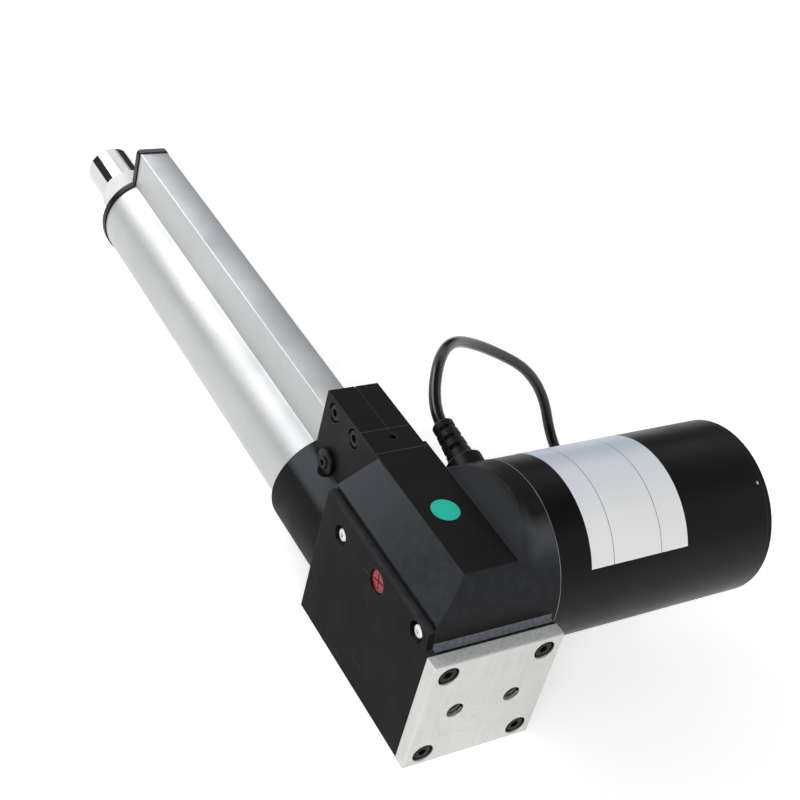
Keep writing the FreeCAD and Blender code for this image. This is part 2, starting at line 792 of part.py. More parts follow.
for label, inner, outer, long, along in spindle_rings:
    spot = ("0", along, axis_z)
    keep(sleeve(label + "_body", inner + " + run_gap", outer, long, spot, turns["y"]), label)

# Worm wheel: straight tooth gaps, skewed to the worm's lead
axial_pitch = "gear_module * pi"
root_depth = "gear_module * 1.25"
flank = "tan(flank_lean)"
half_gap = "(gear_module * pi + mesh_play) / 4"
half_tooth = "(gear_module * pi - mesh_play) / 4"
lead_lean = "atan(gear_module / (2 * worm_pitch_rad))"
gap_low = "(%s - %s * %s)" % (half_gap, root_depth, flank)
gap_high = "(%s + %s * %s)" % (half_gap, root_depth, flank)
gap_floor = "-(%s - %s)" % (pitch_rad, root_depth)
gap_mouth = "-(%s + %s)" % (pitch_rad, root_depth)
wheel = sleeve("worm_wheel_body", "wheel_seat_rad + run_gap", wheel_tip, "wheel_wide",
               ("0", wheel_back, axis_z), turns["y"])
gap_sketch = sketch_on(wheel, "wheel_gap", "XY_Plane")
draw(gap_sketch, [
    ("-" + gap_low, gap_floor),
    (gap_low, gap_floor),
    (gap_high, gap_mouth),
    ("-" + gap_high, gap_mouth),
])
skew = FreeCAD.Rotation(V(0, 1, 0), value(lead_lean))
gap_sketch.AttachmentOffset = FreeCAD.Placement(V(0, 0, value("wheel_wide / 2")), skew)
bind(gap_sketch, "AttachmentOffset.Base.z", "wheel_wide / 2")
gap = wheel.newObject("PartDesign::Pocket", "wheel_gap_pocket")
gap.Profile = gap_sketch
gap.SideType = "Symmetric"
bind(gap, "Length", "wheel_wide * 2")
doc.recompute()
teeth = wheel.newObject("PartDesign::PolarPattern", "wheel_tooth_pattern")
teeth.Originals = [gap]
teeth.Axis = (plane_of(wheel, "Z_Axis"), [""])
teeth.Angle = 360
bind(teeth, "Occurrences", "wheel_teeth")
wheel.Tip = teeth
keep(wheel, "worm_wheel")

# Worm: one right-hand thread on a sleeve that is fast on the motor shaft
worm_root = "(worm_pitch_rad - %s)" % root_depth
worm_tip = "(worm_pitch_rad + gear_module)"
worm = sleeve("worm_body", "shaft_rad", worm_root, "worm_long", ("-worm_long / 2",) + motor_mid, turns["x"])
thread = sketch_on(worm, "worm_thread", "XZ_Plane")
thread_mid = "(worm_long / 2 - floor(worm_turns / 2) * %s)" % axial_pitch
foot_half = "(%s + (%s + free_gap) * %s)" % (half_tooth, root_depth, flank)
tip_half = "(%s - gear_module * %s)" % (half_tooth, flank)
draw(thread, [
    (worm_root + " - free_gap", "%s - %s" % (thread_mid, foot_half)),
    (worm_tip, "%s - %s" % (thread_mid, tip_half)),
    (worm_tip, "%s + %s" % (thread_mid, tip_half)),
    (worm_root + " - free_gap", "%s + %s" % (thread_mid, foot_half)),
])
helix = worm.newObject("PartDesign::AdditiveHelix", "worm_helix")
helix.Profile = thread
helix.ReferenceAxis = (thread, ["V_Axis"])
helix.Mode = "pitch-turns-angle"
bind(helix, "Pitch", axial_pitch)
bind(helix, "Turns", "worm_turns")
worm.Tip = helix
keep(worm, "worm")

# Motor: steel can with its end plates, bushes and plug
shaft_back = "(%s + fit_gap)" % cover_in
shaft_front = "(%s - shaft_room)" % can_end
shaft_long = "%s - %s" % (shaft_front, shaft_back)
keep(bar("motor_shaft_bar", "x", "shaft_rad", (shaft_back,) + motor_mid, shaft_long), "motor_shaft")
can_long = "%s - %s" % (can_end, seam_x)
can_spot = (seam_x,) + motor_mid
keep(sleeve("motor_can_body", can_bore, "motor_rad", can_long, can_spot, turns["x"]), "motor_can")
seat_rad = "(%s - fit_gap)" % can_bore
flange_turned = sleeve("flange_turned", "bush_rad + fit_gap", seat_rad, "flange_thick", can_spot, turns["x"])
flange_ways = []
for number, bolt_spot in enumerate(bolt_spots):
    start = ("0",) + bolt_spot
    flange_ways.append(bar("flange_way_%d" % number, "x", "bolt_rad + fit_gap", start, "motor_long"))
keep(cut("flange_cut", flange_turned, flange_ways), "motor_flange")
hub_deep = "(spigot_deep - hub_short)"
keep(turned("motor_end_cap_body", [
    ("0", "0"),
    ("bush_rad + fit_gap", "0"),
    ("bush_rad + fit_gap", "-" + hub_deep),
    ("bush_rad + hub_wall", "-" + hub_deep),
    ("bush_rad + hub_wall", "0"),
    (seat_rad + " - spigot_wall", "0"),
    (seat_rad + " - spigot_wall", "-spigot_deep"),
    (seat_rad, "-spigot_deep"),
    (seat_rad, "0"),
    ("motor_rad", "0"),
    ("motor_rad", "end_rim - end_bevel"),
    ("motor_rad - end_bevel", "end_rim"),
    ("0", "end_rim"),
], (can_end,) + motor_mid, turns["x"]), "motor_end_cap")
shaft_bushes = [
    ("motor_front_bush", "bush_rad", "flange_thick", seam_x),
    ("motor_rear_bush", "bush_rad", hub_deep, "%s - %s" % (can_end, hub_deep)),
    ("worm_bush", "worm_seat_rad - fit_gap", "%s - %s" % (worm_bush_end, cover_in), cover_in),
]
for label, outer, long, along in shaft_bushes:
    spot = (along,) + motor_mid
    keep(sleeve(label + "_body", "shaft_rad + run_gap", outer, long, spot, turns["x"]), label)
plug_start = (cover_in + " - plug_thick",) + motor_mid
keep(bar("worm_plug_bar", "x", "plug_rad", plug_start, "plug_thick"), "worm_plug")
bolt_start = "(%s + bolt_mouth_deep - bolt_head_tall)" % cover_in
bolt_reach = "%s + flange_thick - %s" % (seam_x, bolt_start)
motor_bolts = []
for number, bolt_spot in enumerate(bolt_spots):
    motor_bolts.append(screw("motor_bolt_%d" % number, "bolt_head_rad", "bolt_head_tall", "bolt_rad",
                             bolt_reach, (bolt_start,) + bolt_spot, turns["x"]))
keep(group("motor_bolt_set", motor_bolts), "motor_bolts")

# Field magnets, and the armature on the worm shaft
magnet_back = "(%s - magnet_over)" % core_back
magnet_long = "(%s + magnet_over * 2)" % core_long
magnets = []
for number, start in enumerate([0, 180]):
    arc = doc.addObject("Part::Cylinder", "magnet_arc_%d" % number)
    bind(arc, "Radius", seat_rad)
    bind(arc, "Height", magnet_long)
    bind(arc, "Angle", "magnet_turn")
    spin = turns["x"].multiply(FreeCAD.Rotation(V(0, 0, 1), start - value("magnet_turn / 2")))
    place(arc, (magnet_back,) + motor_mid, spin)
    hole = bar("magnet_hole_%d" % number, "x", magnet_rad, ("0",) + motor_mid, motor_end)
    magnets.append(cut("magnet_%d" % number, arc, [hole]))
keep(group("magnet_set", magnets), "field_magnets")
core_spot = (core_back,) + motor_mid
keep(sleeve("armature_core_body", "shaft_rad", core_rad, core_long, core_spot, turns["x"]), "armature_core")
winding_rad = core_rad + " - winding_inset"
winding_corners = [
    ("shaft_rad + winding_wall", "0"),
    (winding_rad, "0"),
    (winding_rad, "winding_long - winding_inset"),
    (winding_rad + " - winding_inset", "winding_long"),
    ("shaft_rad + winding_wall", "winding_long"),
]
windings = [
    turned("winding_back", winding_corners, core_spot, turns["-x"]),
    turned("winding_front", winding_corners, (core_front,) + motor_mid, turns["x"]),
]
keep(group("winding_set", windings), "armature_windings")
commutator_spot = (core_front + " + winding_long",) + motor_mid
keep(sleeve("commutator_body", "shaft_rad", "commutator_rad", "commutator_long", commutator_spot, turns["x"]),
     "commutator")
brush_plate_spot = (brush_plate_x,) + motor_mid
keep(sleeve("brush_plate_body", "commutator_rad + brush_room", seat_rad, "brush_plate_thick",
            brush_plate_spot, turns["x"]), "brush_plate")
brush_near = "(commutator_rad + brush_gap)"
brush_far = "(%s + brush_long)" % brush_near
brush_sides = [
    ("%s + %s" % (motor_y, brush_near), "%s + %s" % (motor_y, brush_far)),
    ("%s - %s" % (motor_y, brush_far), "%s - %s" % (motor_y, brush_near)),
]
brushes = []
for number, brush_side in enumerate(brush_sides):
    brushes.append(block("brush_%d" % number, (brush_plate_x + " - brush_wide", brush_plate_x), brush_side,
                         (motor_z + " - brush_wide / 2", motor_z + " + brush_wide / 2")))
keep(group("brush_set", brushes), "carbon_brushes")

# Clamp screws and nuts across the split ridge, and the round-headed lock screw beside the socket
clamp_reach = "strip_half + %s - clamp_head_sunk" % clamp_right
clamp_head_tall = "clamp_mouth_deep - clamp_head_sunk"
clamp_screws = []
clamp_nuts = []
for number, along in enumerate(clamp_bolts):
    spot = ("-strip_half + clamp_head_sunk", along, clamp_bolt_z)
    clamp_screws.append(screw("clamp_screw_%d" % number, "clamp_head_rad", clamp_head_tall, "clamp_bolt_rad",
                              clamp_reach, spot, turns["x"]))
    nut_hull = doc.addObject("Part::Prism", "clamp_nut_hull_%d" % number)
    nut_hull.Polygon = 6
    bind(nut_hull, "Circumradius", "clamp_mouth_rad - pass_gap")
    bind(nut_hull, "Height", clamp_head_tall)
    place(nut_hull, (clamp_right + " - clamp_mouth_deep", along, clamp_bolt_z), turns["x"])
    nut_way = bar("clamp_nut_way_%d" % number, "x", "clamp_bolt_rad + fit_gap", ("0", along, clamp_bolt_z),
                  "strip_half * 2")
    clamp_nuts.append(cut("clamp_nut_%d" % number, nut_hull, [nut_way]))
keep(group("clamp_screw_set", clamp_screws), "clamp_screws")
keep(group("clamp_nut_set", clamp_nuts), "clamp_nuts")
lock_reach = "(lock_head_tall + strip_half - chan_foot_half - fit_gap)"
keep(turned("lock_screw_body", [
    ("0", "0"),
    ("lock_head_rad - lock_head_bevel", "0"),
    ("lock_head_rad", "lock_head_bevel"),
    ("lock_head_rad", "lock_head_tall"),
    ("lock_rad", "lock_head_tall"),
    ("lock_rad", lock_reach),
    ("0", lock_reach),
], ("-strip_half - lock_head_tall",) + lock_spot, turns["x"]), "lock_screw")

# Limit switches on a board under the roof of the channel
board_under = "(%s - board_thick)" % hollow_top
board_run = (nut_back + " + board_back_room", bush_back + " - board_front_room")
keep(block("switch_board_block", hollow_side, board_run, (board_under, hollow_top)), "switch_board")
switches = []
for number, middle in enumerate([key_mid, key_mid + " + stroke"]):
    back = "%s - switch_long / 2" % middle
    case = block("switch_case_%d" % number, ("-switch_half", "switch_half"), (back, back + " + switch_long"),
                 (board_under + " - switch_tall", board_under))
    button_run = (back + " + button_back", back + " + button_back + button_long")
    button = block("switch_button_%d" % number, ("-button_half", "button_half"), button_run,
                   (key_tip + " + free_gap", board_under + " - switch_tall"))
    switches.append(fuse("switch_%d" % number, [case, button]))
keep(group("switch_set", switches), "limit_switches")

# Cable gland: flange on the boss and a tapering sleeve with ribs and bending windows
rib_step = "((gland_long - gland_flange_thick - gland_tip_long) / %d)" % rib_count
gland_corners = [
    ("0", "0"),
    ("gland_flange_rad", "0"),
    ("gland_flange_rad", "gland_flange_thick - gland_bevel"),
    ("gland_flange_rad - gland_bevel", "gland_flange_thick"),
]
rib_spans = []
for rib in range(rib_count):
    thin = " - rib_deep" if rib % 2 else ""
    taper = "gland_root_rad - (gland_root_rad - gland_tip_rad) * %d / %d" % (rib, rib_count)
    low = "gland_flange_thick + %d * %s" % (rib, rib_step)
    high = "gland_flange_thick + %d * %s" % (rib + 1, rib_step)
    rib_spans.append((low, high))
    gland_corners.append((taper + thin, low))
    gland_corners.append((taper + thin, high))
gland_corners += [
    ("gland_tip_rad", "gland_long - gland_tip_long"),
    ("gland_tip_rad - gland_bevel", "gland_long"),
    ("0", "gland_long"),
]
gland = turned("cable_gland_body", gland_corners, gland_spot, gland_turn)
for side, sign in [("upper", ""), ("lower", "-")]:
    windows = sketch_on(gland, side + "_windows", "XZ_Plane")
    bind(windows, "AttachmentOffset.Base.z", sign + "(cable_rad + free_gap)")
    for low, high in rib_spans[1::2]:
        corners = [("-window_half", low), ("window_half", low), ("window_half", high), ("-window_half", high)]
        draw(windows, corners)
    slots = gland.newObject("PartDesign::Pocket", side + "_slots")
    slots.Profile = windows
    slots.Type = "ThroughAll"
    slots.Reversed = sign == ""
    gland.Tip = slots
keep(gland, "cable_gland")


def cord(name, points, label):
    """A round cord along straight runs and tangent arcs, each arc as large as its two runs allow."""
    radius = value("cable_rad")
    mark = points[0]
    runs = []
    arcs = []
    for before, here, after in zip(points, points[1:], points[2:]):
        back = before - here
        ahead = after - here
        reach = arc_share * min(back.Length, ahead.Length)
        back.normalize()
        ahead.normalize()
        half = (math.pi - back.getAngle(ahead)) / 2
        bend = reach / math.tan(half)
        centre = here + (back + ahead).normalize() * (bend / math.cos(half))
        runs.append((mark, here + back * reach))
        arcs.append((here + back * reach, back, centre, ahead.cross(back), half * 2, bend))
        mark = here + ahead * reach
    runs.append((mark, points[-1]))
    pieces = []
    for start, end in runs:
        disc = Part.Face(Part.Wire(Part.makeCircle(radius, start, end - start)))
        pieces.append(disc.extrude(end - start))
    for start, back, centre, axis, turn, bend in arcs:
        disc = Part.Face(Part.Wire(Part.makeCircle(radius, start, back)))
        pieces.append(disc.revolve(centre, axis, math.degrees(turn)))
    tube = doc.addObject("Part::Feature", name)
    tube.Shape = pieces[0].multiFuse(pieces[1:]).removeSplitter() if arcs else pieces[0]
    length = sum((end - start).Length for start, end in runs) + sum(arc[4] * arc[5] for arc in arcs)
    share = tube.Shape.Volume / (math.pi * radius ** 2 * length)
    radii = " ".join("%.1f" % arc[5] for arc in arcs)
    print("%s length %.1f, volume share %.4f, radii %s" % (label, length, share, radii))
    return keep(tube, label)


# Cable: from the gland, over behind the motor, down to the coil on the floor
gland_axis = gland_turn.multVec(V(0, 0, 1))
gland_tip = V(*[value(text) for text in gland_spot]) + gland_axis * value("gland_long")
coil_spot = ("%s + coil_side" % seam_x, motor_y + " + motor_rad + coil_behind", floor_z)
coil_x, coil_y, coil_z = [value(text) for text in coil_spot]
coil_edge = V(coil_x + value("coil_mid + coil_half - cable_rad"), coil_y, coil_z + value("cable_rad"))
cable_points = [
    gland_tip,
    gland_tip + gland_axis * 22,
    gland_tip + V(19, 44.5, 2.6),
    gland_tip + V(53, 55.5, -8.4),
    coil_edge + V(-8, 64, 36),
    coil_edge + V(0, 48, 0),
    coil_edge + V(0, 10, 0),
]
cord("cable_pipe", cable_points, "cable")

# Coil of spare cable, held by a tie, ending in a round plug on a short tail
inner = "coil_mid - coil_half"
outer = "coil_mid + coil_half"
tall = "coil_half * 2"
coil_ring = turned("coil_ring", [
    (inner, "coil_bevel"),
    (inner + " + coil_bevel", "0"),
    (outer + " - coil_bevel", "0"),
    (outer, "coil_bevel"),
    (outer, tall + " - coil_bevel"),
    (outer + " - coil_bevel", tall),
    (inner + " + coil_bevel", tall),
    (inner, tall + " - coil_bevel"),
], coil_spot, turns["z"])
tie_x = "(%s - coil_mid)" % coil_spot[0]
tie_y = "(%s)" % coil_spot[1]
tie_half = "(coil_half + tie_thick / 2)"
tie_top = "%s + coil_half * 2 + tie_thick / 2" % floor_z
tie_hull = block("tie_hull", ("%s - %s" % (tie_x, tie_half), "%s + %s" % (tie_x, tie_half)),
                 (tie_y + " - tie_wide / 2", tie_y + " + tie_wide / 2"), (floor_z, tie_top))
tie_hole = block("tie_hole",
                 ("%s - %s + tie_thick" % (tie_x, tie_half), "%s + %s - tie_thick" % (tie_x, tie_half)),
                 (tie_y + " - tie_wide", tie_y + " + tie_wide"),
                 (floor_z + " + tie_thick", tie_top + " - tie_thick"))
tie = cut("tie_cut", tie_hull, [tie_hole])
keep(cut("coil_cut", coil_ring, [tie]), "cable_coil")
keep(tie, "coil_tie")
plug_spot = (
    coil_spot[0] + " - tail_long",
    "%s - coil_mid - coil_half + cable_rad" % coil_spot[1],
    floor_z + " + plug_body_rad",
)
tail_end = V(*[value(text) for text in plug_spot])
cord("tail_pipe", [tail_end + V(value("tail_long"), 0, 0), tail_end], "cable_tail")
plug_long = "(plug_grip_long + plug_body_long)"
keep(turned("cable_plug_body", [
    ("0", "0"),
    ("cable_rad + plug_neck_wall", "0"),
    ("plug_body_rad - plug_grip_step", "plug_grip_long"),
    ("plug_body_rad", "plug_grip_long"),
    ("plug_body_rad", plug_long + " - plug_tip_long"),
    ("plug_body_rad - plug_tip_step", plug_long + " - plug_tip_long"),
    ("plug_body_rad - plug_tip_step", plug_long),
    ("0", plug_long),
], plug_spot, turns["-x"]), "cable_plug")

doc.recompute()
for thing in doc.Objects:
    if "Invalid" in thing.State or "Error" in thing.State:
        raise ValueError("%s is %s" % (thing.Name, thing.State))
for node in nodes:
    if node.Shape.isNull() or not node.Shape.isValid() or node.Shape.Volume <= 0:
        raise ValueError(node.Label + " has no valid shape")
os.makedirs("parts", exist_ok=True)
for node in nodes:
    node.Shape.exportStep("parts/%s.step" % node.Label)
    print("%s solids %d volume %.0f" % (node.Label, len(node.Shape.Solids), node.Shape.Volume))
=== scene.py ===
import json
import math
import bmesh
import bpy
from mathutils import Matrix, Vector


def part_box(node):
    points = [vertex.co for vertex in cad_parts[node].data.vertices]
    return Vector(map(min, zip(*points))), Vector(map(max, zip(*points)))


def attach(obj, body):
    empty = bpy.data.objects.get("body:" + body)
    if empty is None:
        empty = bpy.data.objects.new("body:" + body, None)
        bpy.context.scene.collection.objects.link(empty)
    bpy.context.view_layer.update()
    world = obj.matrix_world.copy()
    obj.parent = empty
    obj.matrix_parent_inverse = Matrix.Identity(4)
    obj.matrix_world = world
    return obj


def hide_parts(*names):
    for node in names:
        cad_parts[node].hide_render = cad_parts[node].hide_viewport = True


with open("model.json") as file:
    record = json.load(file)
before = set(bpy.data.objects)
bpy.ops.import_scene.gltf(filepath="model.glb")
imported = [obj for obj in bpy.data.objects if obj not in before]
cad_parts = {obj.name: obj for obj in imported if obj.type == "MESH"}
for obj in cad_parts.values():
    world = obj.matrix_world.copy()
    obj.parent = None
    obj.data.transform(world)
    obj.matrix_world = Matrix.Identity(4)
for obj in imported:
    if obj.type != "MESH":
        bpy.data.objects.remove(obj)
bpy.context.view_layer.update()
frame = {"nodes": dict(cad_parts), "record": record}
nodes = frame["nodes"]
scene = bpy.context.scene
scene.view_settings.view_transform = "Standard"
print("frame loaded with", len(nodes), "nodes")

# camera at the photograph's place
cameraView = {
    "place": (-0.26571, -0.25103, 0.37375),
    "aim": (0.05626, 0.163986, 0.0),
    "roll": 15.0776,  # degrees
    "lens": 65.259,  # mm
    "sensor": 36,  # mm
}
camera = bpy.data.objects.new("camera", bpy.data.cameras.new("camera"))
camera.data.sensor_width = cameraView["sensor"]
camera.data.lens = cameraView["lens"]
lookWay = Vector(cameraView["aim"]) - Vector(cameraView["place"])
facing = lookWay.to_track_quat("-Z", "Y").to_matrix().to_4x4()
tilt = Matrix.Rotation(math.radians(cameraView["roll"]), 4, "Z")
camera.matrix_world = Matrix.Translation(cameraView["place"]) @ facing @ tilt
scene.collection.objects.link(camera)
scene.camera = camera
print("camera set")

# cable from the gland over the floor into a tied coil, then its plug
cableLook = {
    "run": [
        (0.0245, 0.093596, 0.047346),
        (0.0245, 0.10338, 0.04943),
        (0.0445, 0.1321, 0.05695),
        (0.0775, 0.149096, 0.038946),
        (0.122, 0.152, 0.012),
        (0.13, 0.136, -0.024),
        (0.13, 0.098, -0.024),
    ],
    "tail": [(0.088, 0.058, -0.0195), (0.076, 0.058, -0.02)],
    "coilCentre": (0.1, 0.088),
    "coilRadius": 0.0275,
    "floor": -0.024,  # centre line of the lowest turns
    "halfPitch": 0.00256,  # half the step between turns
    "turns": 3.25,
    "perTurn": 12,
    "inward": (0.70, 0.92),  # turns over which the line moves in, then up, then out again
    "upward": (1.56, 1.78),
    "outward": (2.43, 2.65),
    "radius": 0.0025,
    "length": 0.793,
    "stepsRound": 5,
    "stepsAlong": 8,
}


def eased(along, start, end):
    share = min(max((along - start) / (end - start), 0.0), 1.0)
    return share * share * (3 - 2 * share)


def makeCable(look):
    points = list(look["run"])
    for step in range(1, round(look["turns"] * look["perTurn"]) + 1):
        along = step / look["perTurn"]
        # each turn steps to the next corner of a square of four
        side = 1 - 2 * eased(along, *look["inward"]) + 2 * eased(along, *look["outward"])
        layer = eased(along, *look["upward"])
        reach = (look["coilRadius"] + side * look["halfPitch"]) / math.cos(math.pi / look["perTurn"])
        angle = -2 * math.pi * along
        points.append((
            look["coilCentre"][0] + reach * math.cos(angle),
            look["coilCentre"][1] + reach * math.sin(angle),
            look["floor"] + 2 * layer * look["halfPitch"],
        ))
    points += look["tail"]
    curve = bpy.data.curves.new("power_cable", "CURVE")
    curve.dimensions = "3D"
    curve.bevel_depth = 1.0  # times the radius of each point
    curve.bevel_resolution = look["stepsRound"]
    curve.resolution_u = look["stepsAlong"]
    curve.use_fill_caps = True
    spline = curve.splines.new("NURBS")
    spline.points.add(len(points) - 1)
    for spot, point in zip(spline.points, points):
        spot.co = (*point, 1)
        spot.radius = look["radius"]
    spline.order_u = 3
    spline.use_endpoint_u = True
    cable = bpy.data.objects.new("power_cable", curve)
    scene.collection.objects.link(cable)
    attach(cable, "housing")
    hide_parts("cable", "cable_coil", "cable_tail")
    return cable


powerCable = makeCable(cableLook)
print("cable laid")


# shader node helpers
def put(tree, kind, **settings):
    node = tree.nodes.new("ShaderNode" + kind)
    for name, setting in settings.items():
        setattr(node, name, setting)
    return node


def startGroup(name, takes, gives):
    group = bpy.data.node_groups.new(name, "ShaderNodeTree")
    for label, kind, start in takes:
        socket = group.interface.new_socket(label, in_out="INPUT", socket_type="NodeSocket" + kind)
        socket.default_value = start
    for label, kind in gives:
        group.interface.new_socket(label, in_out="OUTPUT", socket_type="NodeSocket" + kind)
    return group, group.nodes.new("NodeGroupInput").outputs, group.nodes.new("NodeGroupOutput").inputs


def spread(tree, source, low, high, fromLow=0.3, fromHigh=0.7):
    span = put(tree, "MapRange")
    span.inputs["From Min"].default_value = fromLow
    span.inputs["From Max"].default_value = fromHigh
    for label, edge in (("To Min", low), ("To Max", high)):
        if isinstance(edge, bpy.types.NodeSocket):
            tree.links.new(edge, span.inputs[label])
        else:
            span.inputs[label].default_value = edge
    tree.links.new(source, span.inputs["Value"])
    return span.outputs["Result"]


effectLook = {
    "edgeSamples": 6,
    "edgeLean": (0.78, 0.985),  # from a fully worn edge to a plain face
    "grainDetail": 3.0,
    "cloudDetail": 5.0,
    "cloudRough": 0.6,
    "lineDetail": 4.0,
    "scratchDetail": 2.0,
    "scratchCut": (0.6, 0.72),  # where the noise starts to show, and where it shows fully
    "areaCut": (0.5, 0.62),
    "breakCut": (0.35, 0.6),
}

# rounded edges for the shading, and a mask along them
softEdge, takes, gives = startGroup(
    "softEdge", [("Size", "Float", 0.0004)], [("Normal", "Vector"), ("Worn", "Float")])
rounding = put(softEdge, "Bevel", samples=effectLook["edgeSamples"])
softEdge.links.new(takes["Size"], rounding.inputs["Radius"])
surface = put(softEdge, "NewGeometry")
lean = put(softEdge, "VectorMath", operation="DOT_PRODUCT")
softEdge.links.new(rounding.outputs["Normal"], lean.inputs[0])
softEdge.links.new(surface.outputs["Normal"], lean.inputs[1])
softEdge.links.new(rounding.outputs["Normal"], gives["Normal"])
edgeMask = spread(softEdge, lean.outputs["Value"], 1.0, 0.0, *effectLook["edgeLean"])
softEdge.links.new(edgeMask, gives["Worn"])

# fine moulded or cast grain
mouldGrain, takes, gives = startGroup("mouldGrain", [("Scale", "Float", 2000.0)], [("Height", "Float")])
coords = put(mouldGrain, "TexCoord")
grainNoise = put(mouldGrain, "TexNoise")
grainNoise.inputs["Detail"].default_value = effectLook["grainDetail"]
mouldGrain.links.new(coords.outputs["Object"], grainNoise.inputs["Vector"])
mouldGrain.links.new(takes["Scale"], grainNoise.inputs["Scale"])
mouldGrain.links.new(grainNoise.outputs["Fac"], gives["Height"])

# slow cloudy change, for tone and gloss
cloudy, takes, gives = startGroup(
    "cloudy",
    [("Scale", "Float", 40.0), ("Low", "Float", 0.0), ("High", "Float", 1.0)],
    [("Value", "Float")],
)
coords = put(cloudy, "TexCoord")
cloudNoise = put(cloudy, "TexNoise")
cloudNoise.inputs["Detail"].default_value = effectLook["cloudDetail"]
cloudNoise.inputs["Roughness"].default_value = effectLook["cloudRough"]
cloudy.links.new(coords.outputs["Object"], cloudNoise.inputs["Vector"])
cloudy.links.new(takes["Scale"], cloudNoise.inputs["Scale"])
cloudy.links.new(spread(cloudy, cloudNoise.outputs["Fac"], takes["Low"], takes["High"]), gives["Value"])

# long fine lines from drawing, turning or brushing
drawnLines, takes, gives = startGroup(
    "drawnLines", [("Stretch", "Vector", (900, 8, 900))], [("Value", "Float")])
coords = put(drawnLines, "TexCoord")
stretched = put(drawnLines, "VectorMath", operation="MULTIPLY")
drawnLines.links.new(coords.outputs["Object"], stretched.inputs[0])
drawnLines.links.new(takes["Stretch"], stretched.inputs[1])
lineNoise = put(drawnLines, "TexNoise")
lineNoise.inputs["Scale"].default_value = 1.0
lineNoise.inputs["Detail"].default_value = effectLook["lineDetail"]
drawnLines.links.new(stretched.outputs["Vector"], lineNoise.inputs["Vector"])
drawnLines.links.new(spread(drawnLines, lineNoise.outputs["Fac"], 0.0, 1.0), gives["Value"])

# sparse scratches in patches
scuffMarks, takes, gives = startGroup(
    "scuffMarks",
    [("Turn", "Vector", (0, 0, 0)), ("Stretch", "Vector", (60, 60, 900)), ("Patch", "Float", 60.0)],
    [("Mask", "Float")],
)
coords = put(scuffMarks, "TexCoord")
turned = put(scuffMarks, "Mapping")
scuffMarks.links.new(coords.outputs["Object"], turned.inputs["Vector"])
scuffMarks.links.new(takes["Turn"], turned.inputs["Rotation"])
scuffMarks.links.new(takes["Stretch"], turned.inputs["Scale"])
scratchNoise = put(scuffMarks, "TexNoise")
scratchNoise.inputs["Scale"].default_value = 1.0
scratchNoise.inputs["Detail"].default_value = effectLook["scratchDetail"]
scuffMarks.links.new(turned.outputs["Vector"], scratchNoise.inputs["Vector"])
patchNoise = put(scuffMarks, "TexNoise")
scuffMarks.links.new(coords.outputs["Object"], patchNoise.inputs["Vector"])
scuffMarks.links.new(takes["Patch"], patchNoise.inputs["Scale"])
both = put(scuffMarks, "Math", operation="MULTIPLY")
scratches = spread(scuffMarks, scratchNoise.outputs["Fac"], 0.0, 1.0, *effectLook["scratchCut"])
areas = spread(scuffMarks, patchNoise.outputs["Fac"], 0.0, 1.0, *effectLook["areaCut"])
scuffMarks.links.new(scratches, both.inputs[0])
scuffMarks.links.new(areas, both.inputs[1])
scuffMarks.links.new(both.outputs["Value"], gives["Mask"])

# soft mask inside a box, roughened by noise
boxPatch, takes, gives = startGroup(
    "boxPatch",
    [
        ("Low", "Vector", (0, 0, 0)), ("High", "Vector", (1, 1, 1)), ("Soft", "Float", 0.001),
        ("Break", "Float", 0.0), ("Scale", "Float", 900.0),
    ],
    [("Mask", "Float")],
)
coords = put(boxPatch, "TexCoord")
above = put(boxPatch, "VectorMath", operation="SUBTRACT")
boxPatch.links.new(coords.outputs["Object"], above.inputs[0])
boxPatch.links.new(takes["Low"], above.inputs[1])
below = put(boxPatch, "VectorMath", operation="SUBTRACT")
boxPatch.links.new(takes["High"], below.inputs[0])
boxPatch.links.new(coords.outputs["Object"], below.inputs[1])
nearer = put(boxPatch, "VectorMath", operation="MINIMUM")
boxPatch.links.new(above.outputs["Vector"], nearer.inputs[0])
boxPatch.links.new(below.outputs["Vector"], nearer.inputs[1])
sides = put(boxPatch, "SeparateXYZ")
boxPatch.links.new(nearer.outputs["Vector"], sides.inputs["Vector"])
least = sides.outputs["X"]
for axis in ("Y", "Z"):
    smaller = put(boxPatch, "Math", operation="MINIMUM")
    boxPatch.links.new(least, smaller.inputs[0])
    boxPatch.links.new(sides.outputs[axis], smaller.inputs[1])
    least = smaller.outputs["Value"]
inside = put(boxPatch, "Math", operation="DIVIDE", use_clamp=True)
boxPatch.links.new(least, inside.inputs[0])
boxPatch.links.new(takes["Soft"], inside.inputs[1])
smooth = put(boxPatch, "MapRange", interpolation_type="SMOOTHSTEP")
boxPatch.links.new(inside.outputs["Value"], smooth.inputs["Value"])
breakNoise = put(boxPatch, "TexNoise")
boxPatch.links.new(coords.outputs["Object"], breakNoise.inputs["Vector"])
boxPatch.links.new(takes["Scale"], breakNoise.inputs["Scale"])
worn = put(boxPatch, "Math", operation="MULTIPLY_ADD", use_clamp=True)
gaps = spread(boxPatch, breakNoise.outputs["Fac"], -1.0, 0.0, *effectLook["breakCut"])
boxPatch.links.new(gaps, worn.inputs[0])
boxPatch.links.new(takes["Break"], worn.inputs[1])
boxPatch.links.new(smooth.outputs["Result"], worn.inputs[2])
boxPatch.links.new(worn.outputs["Value"], gives["Mask"])
print("node groups ready")


def useGroup(tree, group, **values):
    node = put(tree, "Group", node_tree=group)
    for label, number in values.items():
        node.inputs[label].default_value = number
    return node


def blendColour(tree, mask, first, second):
    mix = put(tree, "Mix", data_type="RGBA")
    tree.links.new(mask, mix.inputs["Factor"])
    # the node's colour sockets
    for socket, colour in ((mix.inputs[6], first), (mix.inputs[7], second)):
        if isinstance(colour, bpy.types.NodeSocket):
            tree.links.new(colour, socket)
        else:
            socket.default_value = (*colour, 1)
    return mix.outputs[2]


